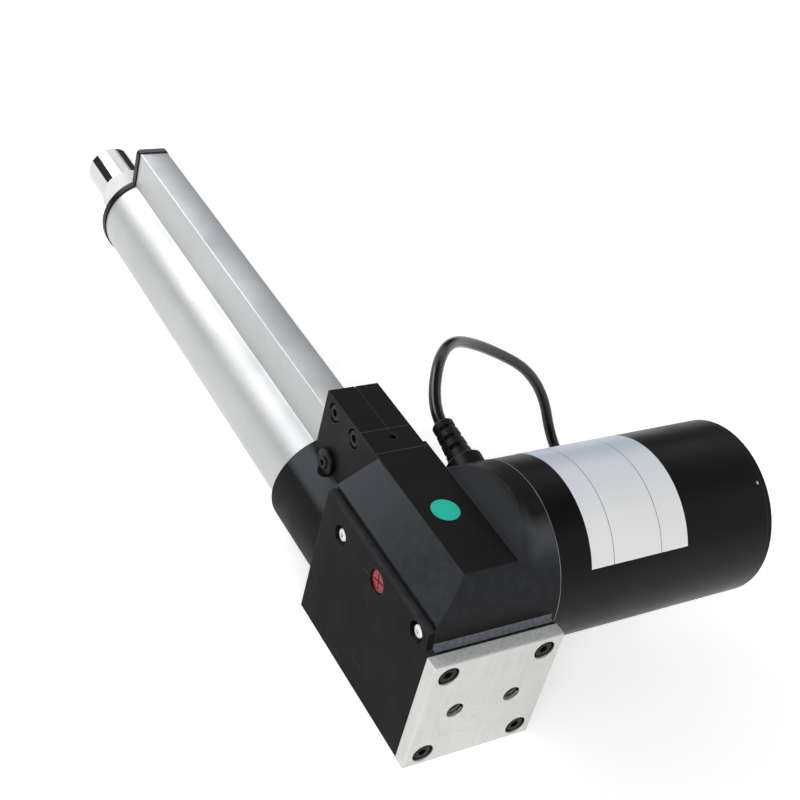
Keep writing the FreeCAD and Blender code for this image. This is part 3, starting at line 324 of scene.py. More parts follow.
# how far a face is turned to a direction
def facingTo(tree, way):
    turnedTo = put(tree, "VectorMath", operation="DOT_PRODUCT")
    turnedTo.inputs[1].default_value = way
    tree.links.new(put(tree, "NewGeometry").outputs["Normal"], turnedTo.inputs[0])
    return turnedTo.outputs["Value"]


# where a point lies along one axis
def placeOn(tree, axis):
    split = put(tree, "SeparateXYZ")
    tree.links.new(put(tree, "TexCoord").outputs["Object"], split.inputs["Vector"])
    return split.outputs[axis]


# what a finish has unless its look says otherwise
plainLook = {
    "metallic": 0.0, "specular": 0.5, "coat": 0.0, "coatRough": 0.1, "bump": 0.6,
    "glossPatch": 1.7,  # gloss changes faster than tone
    "facing": [], "paintedLightMottle": 260.0, "paintedLightShares": (0.88, 1.3),  # darkest and palest shares of the painted light tone on a face
    "sawnTurn": (0.8, 0.9), "patches": [],
}


def makeFinish(name, ownLook):
    look = {**plainLook, **ownLook}
    material = bpy.data.materials.new(name)
    material.use_nodes = True
    tree = material.node_tree
    shader = tree.nodes["Principled BSDF"]
    shader.inputs["Metallic"].default_value = look["metallic"]
    shader.inputs["Specular IOR Level"].default_value = look["specular"]
    shader.inputs["Coat Weight"].default_value = look["coat"]
    shader.inputs["Coat Roughness"].default_value = look["coatRough"]
    clouds = useGroup(tree, cloudy, Scale=look["patch"], Low=0.0, High=1.0)
    colour = blendColour(tree, clouds.outputs["Value"], look["base"], look["tone"])
    smoothest, roughest = look["rough"]
    glossScale = look["glossPatch"] * look["patch"]
    gloss = useGroup(tree, cloudy, Scale=glossScale, Low=smoothest, High=roughest)
    tree.links.new(gloss.outputs["Value"], shader.inputs["Roughness"])
    normal = None
    if "edge" in look:
        edges = useGroup(tree, softEdge, Size=look["edge"][0])
        normal = edges.outputs["Normal"]
        colour = blendColour(tree, edges.outputs["Worn"], colour, look["edge"][1])
    heights = []
    if "grain" in look:
        grain = useGroup(tree, mouldGrain, Scale=look["grain"][0])
        heights.append((grain.outputs["Height"], look["grain"][1]))
    if "lines" in look:
        lines = useGroup(tree, drawnLines, Stretch=look["lines"][0])
        heights.append((lines.outputs["Value"], look["lines"][1]))
        if "lineTone" in look:
            colour = blendColour(tree, lines.outputs["Value"], colour, look["lineTone"])
    if "scuff" in look:
        marks = useGroup(tree, scuffMarks, **look["scuff"])
        colour = blendColour(tree, marks.outputs["Mask"], colour, look["scuffTone"])
    # painted light: faces turned to each given direction are painted paler, as if lit, with a mottled
    # tone
    for way, start, full, tone in look["facing"]:
        paintedLightMottle = useGroup(tree, cloudy, Scale=look["paintedLightMottle"], Low=0.0, High=1.0)
        dim, bright = [[share * part for part in tone] for share in look["paintedLightShares"]]
        pale = blendColour(tree, paintedLightMottle.outputs["Value"], dim, bright)
        # the painted light tone changes along one axis to a second painted tone
        if "crossFade" in look:
            axis, near, far, paintedFarTone = look["crossFade"]
            along = spread(tree, placeOn(tree, axis), 0.0, 1.0, near, far)
            pale = blendColour(tree, along, pale, paintedFarTone)
        turnShare = spread(tree, facingTo(tree, way), 0.0, 1.0, start, full)
        colour = blendColour(tree, turnShare, colour, pale)
    if "sawn" in look:
        way, metal = look["sawn"]
        shine = spread(tree, facingTo(tree, way), 1.0, metal, *look["sawnTurn"])
        tree.links.new(shine, shader.inputs["Metallic"])
    for patch in look["patches"]:
        place = useGroup(tree, boxPatch, **patch["place"])
        colour = blendColour(tree, place.outputs["Mask"], colour, patch["colour"])
    for height, depth in heights:
        bump = put(tree, "Bump")
        bump.inputs["Distance"].default_value = depth
        bump.inputs["Strength"].default_value = look["bump"]
        tree.links.new(height, bump.inputs["Height"])
        if normal is not None:
            tree.links.new(normal, bump.inputs["Normal"])
        normal = bump.outputs["Normal"]
    if normal is not None:
        tree.links.new(normal, shader.inputs["Normal"])
    tree.links.new(colour, shader.inputs["Base Color"])
    return material


# one look for each of the record's material slots
looks = {
    "housing_black": {
        "base": (0.0062, 0.0063, 0.0068), "tone": (0.0098, 0.0100, 0.0107),
        "patch": 38.0, "rough": (0.46, 0.58),
        "specular": 0.1, "grain": (1900.0, 0.00006), "edge": (0.0007, (0.068, 0.070, 0.073)),
        "facing": [  # painted sheen: paler slope beside the ridge, and the front of the collar
            ((-0.66, 0, 0.751), 0.96, 0.987, (0.0265, 0.029, 0.0325)),
            ((0, -0.83, 0.56), 0.86, 1.0, (0.020, 0.021, 0.023)),
        ],
        "crossFade": ("Y", 0.035, 0.086, (0.060, 0.066, 0.077)),  # painted sheen, paler up the slope
        "scuff": {"Turn": (0.4, 0.2, 0.3), "Stretch": (50, 50, 1100), "Patch": 70.0},
        "scuffTone": (0.018, 0.018, 0.019),
        "patches": [{  # painted reflection: pale lilac sheen on the glossy black ledge behind the plate
            "place": {
                "Low": (-0.0235, 0.0064, 0.0255), "High": (0.0265, 0.0089, 0.0284),
                "Soft": 0.0003, "Break": 0.3, "Scale": 700.0,
            },
            "colour": (0.175, 0.182, 0.22),
        }, {  # painted sheen on the ramp between the ridge and the collar
            "place": {
                "Low": (0.0106, 0.010, 0.0475), "High": (0.0225, 0.080, 0.0602),
                "Soft": 0.003, "Break": 0.08, "Scale": 160.0,
            },
            "colour": (0.028, 0.0295, 0.033),
        }, {  # painted sheen on the front of the collar's top
            "place": {
                "Low": (0.0135, 0.0135, 0.0445), "High": (0.0365, 0.0315, 0.0620),
                "Soft": 0.009, "Break": 0.08, "Scale": 160.0,
            },
            "colour": (0.068, 0.073, 0.080),
        }],
    },
    "cover_black": {
        "base": (0.0068, 0.0070, 0.0070), "tone": (0.0115, 0.0117, 0.0115),
        "patch": 30.0, "rough": (0.46, 0.60),
        "specular": 0.05, "grain": (1700.0, 0.00007), "edge": (0.0005, (0.06, 0.062, 0.063)),
        "facing": [((-0.35, 0, 0.937), 0.8, 0.92, (0.028, 0.030, 0.032))],  # painted sheen on the bevel and top of the edge, paler like the slope
        "scuff": {"Turn": (0.7, 0.0, 0.0), "Stretch": (40, 40, 1500), "Patch": 85.0},
        "scuffTone": (0.035, 0.036, 0.035),
        "patches": [{  # rubbed strip on the cover's edge
            "place": {
                "Low": (-0.03, 0.060, 0.0326), "High": (-0.02, 0.0836, 0.0345),
                "Soft": 0.0009, "Break": 0.7, "Scale": 170.0,
            },
            "colour": (0.034, 0.032, 0.027),
        }],
    },
    "plate_steel": {
        "base": (0.57, 0.575, 0.545), "tone": (0.67, 0.675, 0.64),
        "patch": 90.0, "rough": (0.40, 0.52), "metallic": 1.0,
        "grain": (1400.0, 0.00005),
        "lines": ((1500, 1500, 30), 0.00003), "lineTone": (0.66, 0.665, 0.635),
        "edge": (0.0005, (0.86, 0.86, 0.84)), "sawn": ((0, 0, 1), 0.25),  # duller top edge
        # painted light: the plate's top faces are paler
        "facing": [((0, 0, 1), 0.8, 0.9, (0.60, 0.61, 0.61))], "paintedLightMottle": 1100.0,
        "scuff": {"Turn": (0.5, 0.3, 0.9), "Stretch": (160, 160, 2600), "Patch": 120.0},
        "scuffTone": (0.50, 0.50, 0.475),
        "patches": [{  # painted shade on the walls of the holes
            "place": {
                "Low": (-0.0262, 0.0005, -0.0252), "High": (0.0262, 0.0056, 0.0252), "Soft": 0.0004,
            },
            "colour": (0.05, 0.05, 0.048),
        }],
    },
    "screw_black": {
        "base": (0.004, 0.004, 0.0044), "tone": (0.008, 0.0078, 0.0076),
        "patch": 300.0, "rough": (0.28, 0.40),
        "metallic": 0.15, "specular": 0.15,
        "grain": (2600.0, 0.00003), "edge": (0.0002, (0.08, 0.08, 0.08)),
    },
    "tube_aluminium": {
        "base": (0.52, 0.53, 0.535), "tone": (0.58, 0.587, 0.592),
        "patch": 20.0, "rough": (0.46, 0.53),
        "metallic": 1.0, "lines": ((1300, 7, 1300), 0.000012), "edge": (0.0004, (0.84, 0.84, 0.85)),
        # painted highlight: the channel's top is paler
        "facing": [((0, 0, 1), 0.9, 0.97, (0.87, 0.89, 0.91))], "paintedLightMottle": 30.0,
        "crossFade": ("X", -0.0068, 0.0066, (0.47, 0.50, 0.54)),  # painted shade: channel's top darker on its right
    },
    "cap_black": {
        "base": (0.004, 0.004, 0.0043), "tone": (0.007, 0.007, 0.0074),
        "patch": 60.0, "rough": (0.24, 0.34),
        "specular": 0.14, "grain": (1500.0, 0.00003), "edge": (0.0006, (0.012, 0.012, 0.0125)),
        "facing": [((0, 0, 1), 0.9, 0.97, (0.090, 0.095, 0.102))],  # painted sheen on the flat top over the channel
    },
    "bush_white": {
        "base": (0.86, 0.865, 0.87), "tone": (0.91, 0.915, 0.92),
        "patch": 80.0, "rough": (0.38, 0.5),
        "grain": (1200.0, 0.00003), "edge": (0.0003, (0.8, 0.8, 0.79)),
    },
    "rod_chrome": {
        "base": (0.57, 0.58, 0.59), "tone": (0.64, 0.65, 0.66),
        "patch": 40.0, "rough": (0.04, 0.08), "metallic": 1.0,
        "lines": ((30, 2400, 30), 0.000003), "edge": (0.0003, (0.80, 0.80, 0.81)),
    },
    "nut_plastic": {
        "base": (0.60, 0.57, 0.48), "tone": (0.68, 0.65, 0.55),
        "patch": 60.0, "rough": (0.45, 0.55),
        "grain": (1300.0, 0.00004),
    },
    "bright_steel": {
        "base": (0.58, 0.58, 0.58), "tone": (0.66, 0.66, 0.66),
        "patch": 120.0, "rough": (0.20, 0.30), "metallic": 1.0,
        "grain": (2200.0, 0.00001), "edge": (0.0002, (0.75, 0.75, 0.75)),
    },
    "wheel_bronze": {
        "base": (0.50, 0.36, 0.15), "tone": (0.58, 0.43, 0.20),
        "patch": 90.0, "rough": (0.28, 0.38), "metallic": 1.0,
        "grain": (1600.0, 0.00002), "edge": (0.0002, (0.68, 0.52, 0.28)),
    },
    "motor_black": {
        "base": (0.0032, 0.0032, 0.0035), "tone": (0.0048, 0.0048, 0.0052),
        "patch": 26.0, "rough": (0.30, 0.40),
        "specular": 0.13, "grain": (900.0, 0.00004), "edge": (0.0004, (0.04, 0.04, 0.042)),
        "patches": [{  # small bright fleck
            "place": {
                "Low": (0.1256, 0.0233, 0.053), "High": (0.1268, 0.0247, 0.056),
                "Soft": 0.0003, "Break": 0.5, "Scale": 1500.0,
            },
            "colour": (0.75, 0.75, 0.74),
        }],
    },
    "plain_steel": {
        "base": (0.48, 0.48, 0.47), "tone": (0.58, 0.58, 0.57),
        "patch": 110.0, "rough": (0.30, 0.42), "metallic": 1.0,
        "grain": (1800.0, 0.00002), "edge": (0.0002, (0.7, 0.7, 0.69)),
    },
    "bronze": {
        "base": (0.45, 0.27, 0.13), "tone": (0.54, 0.33, 0.17),
        "patch": 130.0, "rough": (0.35, 0.48), "metallic": 1.0,
        "grain": (2500.0, 0.00003),
    },
    "plug_red": {
        "base": (0.30, 0.018, 0.022), "tone": (0.40, 0.028, 0.032),
        "patch": 160.0, "rough": (0.35, 0.45),
        "grain": (1800.0, 0.00004), "edge": (0.0002, (0.6, 0.12, 0.12)),
    },
    "bolt_zinc": {
        "base": (0.70, 0.72, 0.73), "tone": (0.80, 0.81, 0.82),
        "patch": 250.0, "rough": (0.28, 0.40), "metallic": 1.0,
        "grain": (2400.0, 0.00002), "edge": (0.0002, (0.9, 0.9, 0.9)),
    },
    "magnet_grey": {
        "base": (0.07, 0.07, 0.072), "tone": (0.10, 0.10, 0.10),
        "patch": 90.0, "rough": (0.55, 0.7),
        "grain": (1100.0, 0.00006),
    },
    "core_steel": {
        "base": (0.22, 0.22, 0.23), "tone": (0.30, 0.30, 0.31),
        "patch": 70.0, "rough": (0.4, 0.5), "metallic": 1.0,
        "lines": ((2000, 6, 6), 0.00004),
    },
    "winding_copper": {
        "base": (0.42, 0.14, 0.05), "tone": (0.55, 0.21, 0.08),
        "patch": 80.0, "rough": (0.25, 0.35), "metallic": 0.8,
        "lines": ((30, 1400, 1400), 0.0002), "coat": 0.5, "coatRough": 0.2,
    },
    "commutator_copper": {
        "base": (0.60, 0.28, 0.14), "tone": (0.68, 0.34, 0.18),
        "patch": 100.0, "rough": (0.2, 0.3), "metallic": 1.0,
        "lines": ((2500, 20, 20), 0.00001),
    },
    "card_brown": {
        "base": (0.16, 0.075, 0.03), "tone": (0.21, 0.10, 0.045),
        "patch": 140.0, "rough": (0.5, 0.6),
        "grain": (1500.0, 0.00003),
    },
    "carbon": {
        "base": (0.018, 0.018, 0.019), "tone": (0.03, 0.03, 0.031),
        "patch": 200.0, "rough": (0.5, 0.65),
        "grain": (2600.0, 0.00004),
    },
    "board_green": {
        "base": (0.015, 0.12, 0.045), "tone": (0.02, 0.15, 0.06),
        "patch": 70.0, "rough": (0.3, 0.4),
        "grain": (1800.0, 0.00002), "coat": 0.3,
    },
    "switch_black": {
        "base": (0.015, 0.015, 0.016), "tone": (0.025, 0.025, 0.026),
        "patch": 160.0, "rough": (0.4, 0.5),
        "grain": (2000.0, 0.00003),
    },
    "cable_black": {
        "base": (0.005, 0.005, 0.0053), "tone": (0.008, 0.008, 0.0084),
        "patch": 70.0, "rough": (0.14, 0.20), "specular": 0.4,
        "grain": (1500.0, 0.00005),
    },
    "tie_black": {
        "base": (0.012, 0.012, 0.013), "tone": (0.02, 0.02, 0.021),
        "patch": 150.0, "rough": (0.35, 0.5),
        "grain": (1700.0, 0.00005), "edge": (0.0002, (0.04, 0.04, 0.04)),
    },
    "connector_black": {
        "base": (0.005, 0.005, 0.0054), "tone": (0.009, 0.009, 0.0094),
        "patch": 90.0, "rough": (0.33, 0.45),
        "specular": 0.22, "grain": (1600.0, 0.00005), "edge": (0.0003, (0.03, 0.03, 0.031)),
    },
}
finishes = {slotName: makeFinish(slotName, look) for slotName, look in looks.items()}
for row in frame["record"]["subparts"]:
    paint = nodes[row["node"]].data.materials
    paint.clear()
    paint.append(finishes[row["material_slot"]])
powerCable.data.materials.append(finishes["cable_black"])
print("finishes made:", len(finishes))

# places that several pieces share, from the frame
capLow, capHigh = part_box("motor_end_cap")
motorAxis = ((capLow.y + capHigh.y) / 2, (capLow.z + capHigh.z) / 2)
motorRadius = (capHigh.y - capLow.y) / 2
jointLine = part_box("motor_can")[0].x  # where the collar and the can meet
ridgeTop = max(vert.co.z for vert in nodes["gear_housing"].data.vertices if vert.co.x < 0)
mounts = {mount["name"]: mount["dims"] for mount in frame["record"]["mounts"]}
print("places taken from the frame, ridge top at", round(ridgeTop, 5))

weldGap = 1e-7
screwCorners = 36  # round a head


# mesh helpers for the small pieces
def edgesAmong(verts):
    picked = set(verts)
    touching = dict.fromkeys(edge for vert in verts for edge in vert.link_edges)  # keeps their order
    return [edge for edge in touching if picked.issuperset(edge.verts)]


def newVerts(result):
    return [item for item in result["geom"] if isinstance(item, bmesh.types.BMVert)]


def addPiece(name, bm, finish, body, stands=(), angle=32):
    bmesh.ops.remove_doubles(bm, verts=bm.verts, dist=weldGap)
    bmesh.ops.recalc_face_normals(bm, faces=bm.faces)
    mesh = bpy.data.meshes.new(name)
    bm.to_mesh(mesh)
    bm.free()
    mesh.shade_smooth()
    mesh.set_sharp_from_angle(angle=math.radians(angle))
    mesh.materials.append(finish)
    piece = bpy.data.objects.new(name, mesh)
    scene.collection.objects.link(piece)
    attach(piece, body)
    if stands:
        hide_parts(*stands)
    return piece


def openRim(bm):
    return [edge for edge in bm.edges if edge.is_boundary]


# faces at z 0 sink to make the recess, then the head and shank grow round its rim
def growHead(bm, look):
    tops = bm.faces[:]
    sunk = newVerts(bmesh.ops.extrude_face_region(bm, geom=tops))
    bmesh.ops.translate(bm, vec=(0, 0, -look["recessDeep"]), verts=sunk)
    bmesh.ops.delete(bm, geom=tops, context="FACES")
    radius, height = look["profile"][0]
    outer = bmesh.ops.create_circle(bm, segments=screwCorners, radius=radius)["verts"]
    bmesh.ops.triangle_fill(bm, use_beauty=True, edges=openRim(bm) + edgesAmong(outer))
    for nextRadius, nextHeight in look["profile"][1:]:
        outer = newVerts(bmesh.ops.extrude_edge_only(bm, edges=openRim(bm)))
        share = nextRadius / radius
        bmesh.ops.scale(bm, vec=(share, share, 1), verts=outer)
        bmesh.ops.translate(bm, vec=(0, 0, nextHeight - height), verts=outer)
        radius, height = nextRadius, nextHeight
    bmesh.ops.edgeloop_fill(bm, edges=openRim(bm))


def hexRecess(bm, look):
    bmesh.ops.create_circle(bm, cap_ends=True, segments=6, radius=look["recess"])


def crossRecess(bm, look):
    half = look["slotHalf"]
    middle = bmesh.ops.create_grid(bm, x_segments=1, y_segments=1, size=half)["verts"]
    for edge in edgesAmong(middle):
        out = (edge.verts[0].co + edge.verts[1].co).normalized() * (look["recess"] - half)
        arm = newVerts(bmesh.ops.extrude_edge_only(bm, edges=[edge]))
        bmesh.ops.translate(bm, vec=out, verts=arm)


# middle of a head: shares of the way over its node's box, less the head's radius on each side
def headSpot(look, shares):
    low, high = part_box(look["stands"])
    rim = look["headRadius"]
    spot = [near + rim + share * (far - near - 2 * rim) for near, far, share in zip(low, high, shares)]
    axis = look["way"].index(-1)
    spot[axis] = low[axis] - look["proud"]
    return spot


# copies of one screw, each with its own spin
def makeScrews(name, look, recess, slotName):
    bm = bmesh.new()
    recess(bm, look)
    growHead(bm, look)
    pattern = bm.verts[:]
    first = pattern + bm.edges[:] + bm.faces[:]
    facing = Vector(look["way"]).to_track_quat("Z", "Y").to_matrix().to_4x4()
    for shares, spin in look["heads"]:
        copy = newVerts(bmesh.ops.duplicate(bm, geom=first))
        place = Matrix.Translation(headSpot(look, shares)) @ facing @ Matrix.Rotation(spin, 4, "Z")
        bmesh.ops.transform(bm, matrix=place, verts=copy)
    bmesh.ops.delete(bm, geom=pattern, context="VERTS")
    return addPiece(name, bm, finishes[slotName], "housing", [look["stands"]])


plateScrewLook = {
    "stands": "plate_screws", "way": (0, -1, 0), "headRadius": 0.0035, "proud": 0,  # radius in the node
    "heads": [  # shares along x, y and z, then the spin in radians
        ((0, 0, 0), -0.65), ((0, 0, 1), 0.05), ((1, 0, 0), 0.75), ((1, 0, 1), 1.45),
    ],
    "recess": 0.00175, "recessDeep": 0.0022,
    "profile": [  # radius and height from the head's top down
        (0.0031, 0), (0.0034, -0.00012), (0.0035, -0.0004),
        (0.0035, -0.0034), (0.002, -0.0034), (0.002, -0.0154),
    ],
}
makeScrews("plate_socket_screws", plateScrewLook, hexRecess, "screw_black")

clampScrewLook = {
    "stands": "clamp_screws", "way": (-1, 0, 0), "headRadius": 0.0033, "proud": 0,
    "heads": [((0, 1, 0.5), 0.2), ((0, 0, 0.5), 0.75)],
    "recess": 0.00175, "recessDeep": 0.0016,
    "profile": [
        (0.0029, 0), (0.0032, -0.00012), (0.0033, -0.0004),
        (0.0033, -0.0026), (0.002, -0.0026), (0.002, -0.0214),
    ],
}
makeScrews("clamp_socket_screws", clampScrewLook, hexRecess, "screw_black")

lockScrewLook = {
    "stands": "lock_screw", "way": (-1, 0, 0), "headRadius": 0.0054, "proud": 0,
    "heads": [((0, 0.5, 0.5), 0.3)],
    "recess": 0.0014, "recessDeep": 0.0014,
    "profile": [
        (0.0026, 0), (0.0028, -0.0002), (0.0029, -0.0007),
        (0.0047, -0.0008), (0.0052, -0.0010), (0.0054, -0.0014),
        (0.0054, -0.003), (0.003, -0.003), (0.003, -0.0069),
    ],
}
makeScrews("lock_flange_screw", lockScrewLook, hexRecess, "screw_black")

motorBoltLook = {
    "stands": "motor_bolts", "way": (-1, 0, 0), "headRadius": 0.0033, "proud": 0.0004,
    "heads": [((0, 1, 0), 0.1), ((0, 0, 1), 0.5)],
    "recess": 0.0010, "recessDeep": 0.0005,
    "profile": [
        (0.0020, 0), (0.0024, -0.0002), (0.0027, -0.0006),
        (0.0027, -0.0039), (0.0025, -0.0039), (0.0025, -0.0584),
    ],
}
makeScrews("motor_bolt_heads", motorBoltLook, hexRecess, "bolt_zinc")

wormPlugLook = {
    "stands": "worm_plug", "way": (-1, 0, 0), "headRadius": 0.0045, "proud": 0,
    "heads": [((0, 0.5, 0.5), 0.24)],
    "recess": 0.0034, "slotHalf": 0.00042, "recessDeep": 0.0019,
    "profile": [(0.0041, 0), (0.0044, -0.0001), (0.0045, -0.0004), (0.0045, -0.0022)],
}
makeScrews("worm_plug_cross", wormPlugLook, crossRecess, "plug_red")
print("screws, bolts and plug made")

# cable gland: flange, tapering sleeve and bending slots on two sides
glandLook = {
    "base": (0.0245, 0.0755, 0.0435), "lean": 12.0,  # degrees up from straight back
    "segments": 48, "flange": [(0.0070, 0), (0.0070, 0.0003), (0.0066, 0.0007), (0.0054, 0.0009)],
    "root": 0.0053, "taper": 0.06, "slots": [(0.0044, 0.0064), (0.0092, 0.0112), (0.0139, 0.0158)],
    "groove": 0.0003, "slotFloor": 0.0028, "slotArc": 31.0, "slotTurn": 236.0,
    "steepest": 0.5,  # upright part of the normal of a wall
    "tip": [(0.0044, 0.0179), (0.0040, 0.0185)],
}


def makeGland(look):
    bm = bmesh.new()
    radius, height = look["flange"][0]
    bmesh.ops.create_circle(bm, cap_ends=True, segments=look["segments"], radius=radius)
    profile = look["flange"][1:]
    for low, high in look["slots"]:
        for level, cut in ((low, 0), (low, look["groove"]), (high, look["groove"]), (high, 0)):
            profile.append((look["root"] - look["taper"] * level - cut, level))
    for nextRadius, nextHeight in profile + look["tip"]:
        ring = newVerts(bmesh.ops.extrude_edge_only(bm, edges=openRim(bm)))
        bmesh.ops.scale(bm, vec=(nextRadius / radius, nextRadius / radius, 1), verts=ring)
        bmesh.ops.translate(bm, vec=(0, 0, nextHeight - height), verts=ring)
        radius, height = nextRadius, nextHeight
    bmesh.ops.edgeloop_fill(bm, edges=openRim(bm))
    for low, high in look["slots"]:
        for side in (-1, 1):
            walls = []
            for face in bm.faces:
                middle = face.calc_center_median()
                across = math.degrees(math.atan2(middle.y, side * middle.x))
                upright = low < middle.z < high and abs(face.normal.z) < look["steepest"]
                if upright and abs(across) < look["slotArc"]:
                    walls.append(face)
            pushed = newVerts(bmesh.ops.extrude_face_region(bm, geom=walls))
            share = look["slotFloor"] / walls[0].verts[0].co.xy.length
            bmesh.ops.scale(bm, vec=(share, share, 1), verts=pushed)
            bmesh.ops.delete(bm, geom=walls, context="FACES")
    leaned = Matrix.Rotation(math.radians(look["lean"] - 90), 4, "X")
    turn = leaned @ Matrix.Rotation(math.radians(look["slotTurn"]), 4, "Z")
    bmesh.ops.transform(bm, matrix=Matrix.Translation(look["base"]) @ turn, verts=bm.verts)
    return addPiece(
        "gland_sleeve", bm, finishes["connector_black"], "housing", ["cable_gland"])


makeGland(glandLook)
print("gland made")

# bare label film round the motor
labelLook = {
    "proud": 0.00006, "thick": 0.00012,
    "from": 0.0139, "to": 0.0589,  # along the motor from its joint line
    "start": 62.0, "end": -45.0,  # degrees from the top, forward side positive
    "steps": 48,
    "base": (0.90, 0.905, 0.91), "tone": (0.95, 0.95, 0.955),
    "patch": 35.0, "rough": (0.28, 0.36), "grain": (2200.0, 0.000008),
    "paintedFarTone": (0.46, 0.56, 0.70), "fade": (0.024, 0.064),  # painted reflection: darker, cooler tone over the top, along y
    "ruleColour": (0.12, 0.13, 0.15), "rules": (0.0241, 0.0463), "ruleHalf": 0.00013,
}


def makeLabelFilm(look):
    material = makeFinish("label_film", look)
    tree = material.node_tree
    shader = tree.nodes["Principled BSDF"]
    colour = shader.inputs["Base Color"].links[0].from_socket
    # painted reflection over the top of the label
    along = spread(tree, placeOn(tree, "Y"), 0.0, 1.0, *look["fade"])
    colour = blendColour(tree, along, colour, look["paintedFarTone"])
    for spot in look["rules"]:
        near = put(tree, "Math", operation="COMPARE")
        near.inputs[1].default_value = jointLine + spot
        near.inputs[2].default_value = look["ruleHalf"]
        tree.links.new(placeOn(tree, "X"), near.inputs[0])
        colour = blendColour(tree, near.outputs["Value"], colour, look["ruleColour"])
    tree.links.new(colour, shader.inputs["Base Color"])
    return material


def makeLabel(look):
    bm = bmesh.new()
    lean = math.radians(look["start"])
    radius = motorRadius + look["proud"]
    y, z = motorAxis
    place = (y - radius * math.sin(lean), z + radius * math.cos(lean))
    ends = [bm.verts.new((jointLine + along, *place)) for along in (look["from"], look["to"])]
    edge = bm.edges.new(ends)
    bmesh.ops.spin(bm, geom=ends + [edge], cent=(0, y, z), axis=(-1, 0, 0),
                   angle=math.radians(look["start"] - look["end"]), steps=look["steps"])
    bmesh.ops.recalc_face_normals(bm, faces=bm.faces)
    bmesh.ops.solidify(bm, geom=bm.faces[:], thickness=look["thick"])
    return addPiece("motor_label", bm, makeLabelFilm(look), "housing")


makeLabel(labelLook)

# bare round sticker on the ridge
stickerLook = {
    "place": (-0.0011, 0.0482), "radius": 0.0055, "thick": 0.00016, "corners": 48,
    "topShare": 0.985,  # the rim leans in a little
    "base": (0.002, 0.50, 0.37), "tone": (0.004, 0.56, 0.42),
    "patch": 120.0, "rough": (0.26, 0.34), "specular": 0.25,
    "grain": (1800.0, 0.00001), "edge": (0.0002, (0.1, 0.6, 0.5)),
}
bm = bmesh.new()
bmesh.ops.create_circle(
    bm, cap_ends=True, segments=stickerLook["corners"], radius=stickerLook["radius"])
raised = newVerts(bmesh.ops.extrude_face_region(bm, geom=bm.faces[:]))
bmesh.ops.translate(bm, vec=(0, 0, stickerLook["thick"]), verts=raised)
bmesh.ops.scale(bm, vec=(stickerLook["topShare"], stickerLook["topShare"], 1), verts=raised)
bmesh.ops.translate(bm, vec=(*stickerLook["place"], ridgeTop), verts=bm.verts)
addPiece("ridge_sticker", bm, makeFinish("sticker_film", stickerLook), "housing")

# screw threads in the plate's two open holes and in the rod's end
threadShape = {
    "tooth": 0.00062, "sunk": 0.0001,  # height of the ridge, and how far its feet go into the wall
    "crest": 0.48, "foot": 0.96,  # shares of the pitch
    "perTurn": 24, "sharp": 20,  # degrees
}
plateThreadLook = {
    "radius": mounts["rear_taps"]["hole_r_mm"] / 1000,
    "apart": mounts["rear_taps"]["spacing_x_mm"] / 1000,
    "pitch": 0.00125, "start": 0.0004,
    # dark colour: painted shade on the threads in the plate's holes
    "base": (0.10, 0.10, 0.098), "tone": (0.18, 0.18, 0.175),
    "patch": 400.0, "rough": (0.3, 0.42), "metallic": 1.0, "grain": (2600.0, 0.00002),
}
rodThreadLook = {
    "radius": mounts["rod_thread"]["r_mm"] / 1000,
    "pitch": 0.0015, "start": 0.019, "end": 0.001,  # back from the tip
}


def makeThread(name, look, spots, deep, finish, body):
    bm = bmesh.new()
    turns = deep / look["pitch"] - 1
    steps = round(threadShape["perTurn"] * turns)
    foot = look["radius"] + threadShape["sunk"]
    crest = look["radius"] - threadShape["tooth"]
    section = [(foot, 0), (crest, threadShape["crest"]), (foot, threadShape["foot"])]
    for x, y, z in spots:
        root = [bm.verts.new((x + reach, y + share * look["pitch"], z)) for reach, share in section]
        ridge = [bm.edges.new(root[:2]), bm.edges.new(root[1:])]
        bmesh.ops.spin(bm, geom=root + ridge, cent=(x, y, z), axis=(0, 1, 0), angle=2 * math.pi * turns,
                       dvec=(0, turns * look["pitch"] / steps, 0), steps=steps)
    return addPiece(name, bm, finish, body, angle=threadShape["sharp"])


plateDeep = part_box("rear_plate")[1].y - plateThreadLook["start"]
plateHoles = [(side * plateThreadLook["apart"] / 2, plateThreadLook["start"], 0) for side in (-1, 1)]
shadedThread = makeFinish("shaded_thread", plateThreadLook)
makeThread("plate_threads", plateThreadLook, plateHoles, plateDeep, shadedThread, "housing")
rodLow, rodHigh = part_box("rod_end")
rodHole = [((rodLow.x + rodHigh.x) / 2, rodHigh.y - rodThreadLook["start"], (rodLow.z + rodHigh.z) / 2)]
rodDeep = rodThreadLook["start"] - rodThreadLook["end"]
rodFinish = finishes["bright_steel"]
makeThread("rod_end_thread", rodThreadLook, rodHole, rodDeep, rodFinish, "rod")

# thin joint line between the collar and the motor can, its pale colour a painted highlight
seamHighlightLook = {
    "half": 0.00014, "proud": 0.00012, "thick": 0.00016, "steps": 96,
    "base": (0.10, 0.10, 0.105), "tone": (0.30, 0.30, 0.31),
    "patch": 70.0, "rough": (0.4, 0.5), "metallic": 0.4, "grain": (1500.0, 0.00002),
}
bm = bmesh.new()
y, z = motorAxis
rims = [jointLine - seamHighlightLook["half"], jointLine + seamHighlightLook["half"]]
ends = [bm.verts.new((x, y, z + motorRadius + seamHighlightLook["proud"])) for x in rims]
bmesh.ops.spin(bm, geom=ends + [bm.edges.new(ends)], cent=(0, y, z), axis=(1, 0, 0),
               angle=2 * math.pi, steps=seamHighlightLook["steps"], use_merge=True)
bmesh.ops.remove_doubles(bm, verts=bm.verts, dist=weldGap)
bmesh.ops.recalc_face_normals(bm, faces=bm.faces)
bmesh.ops.solidify(bm, geom=bm.faces[:], thickness=seamHighlightLook["thick"])
addPiece("motor_joint_highlight_ring", bm, makeFinish("painted_joint_highlight", seamHighlightLook), "housing")

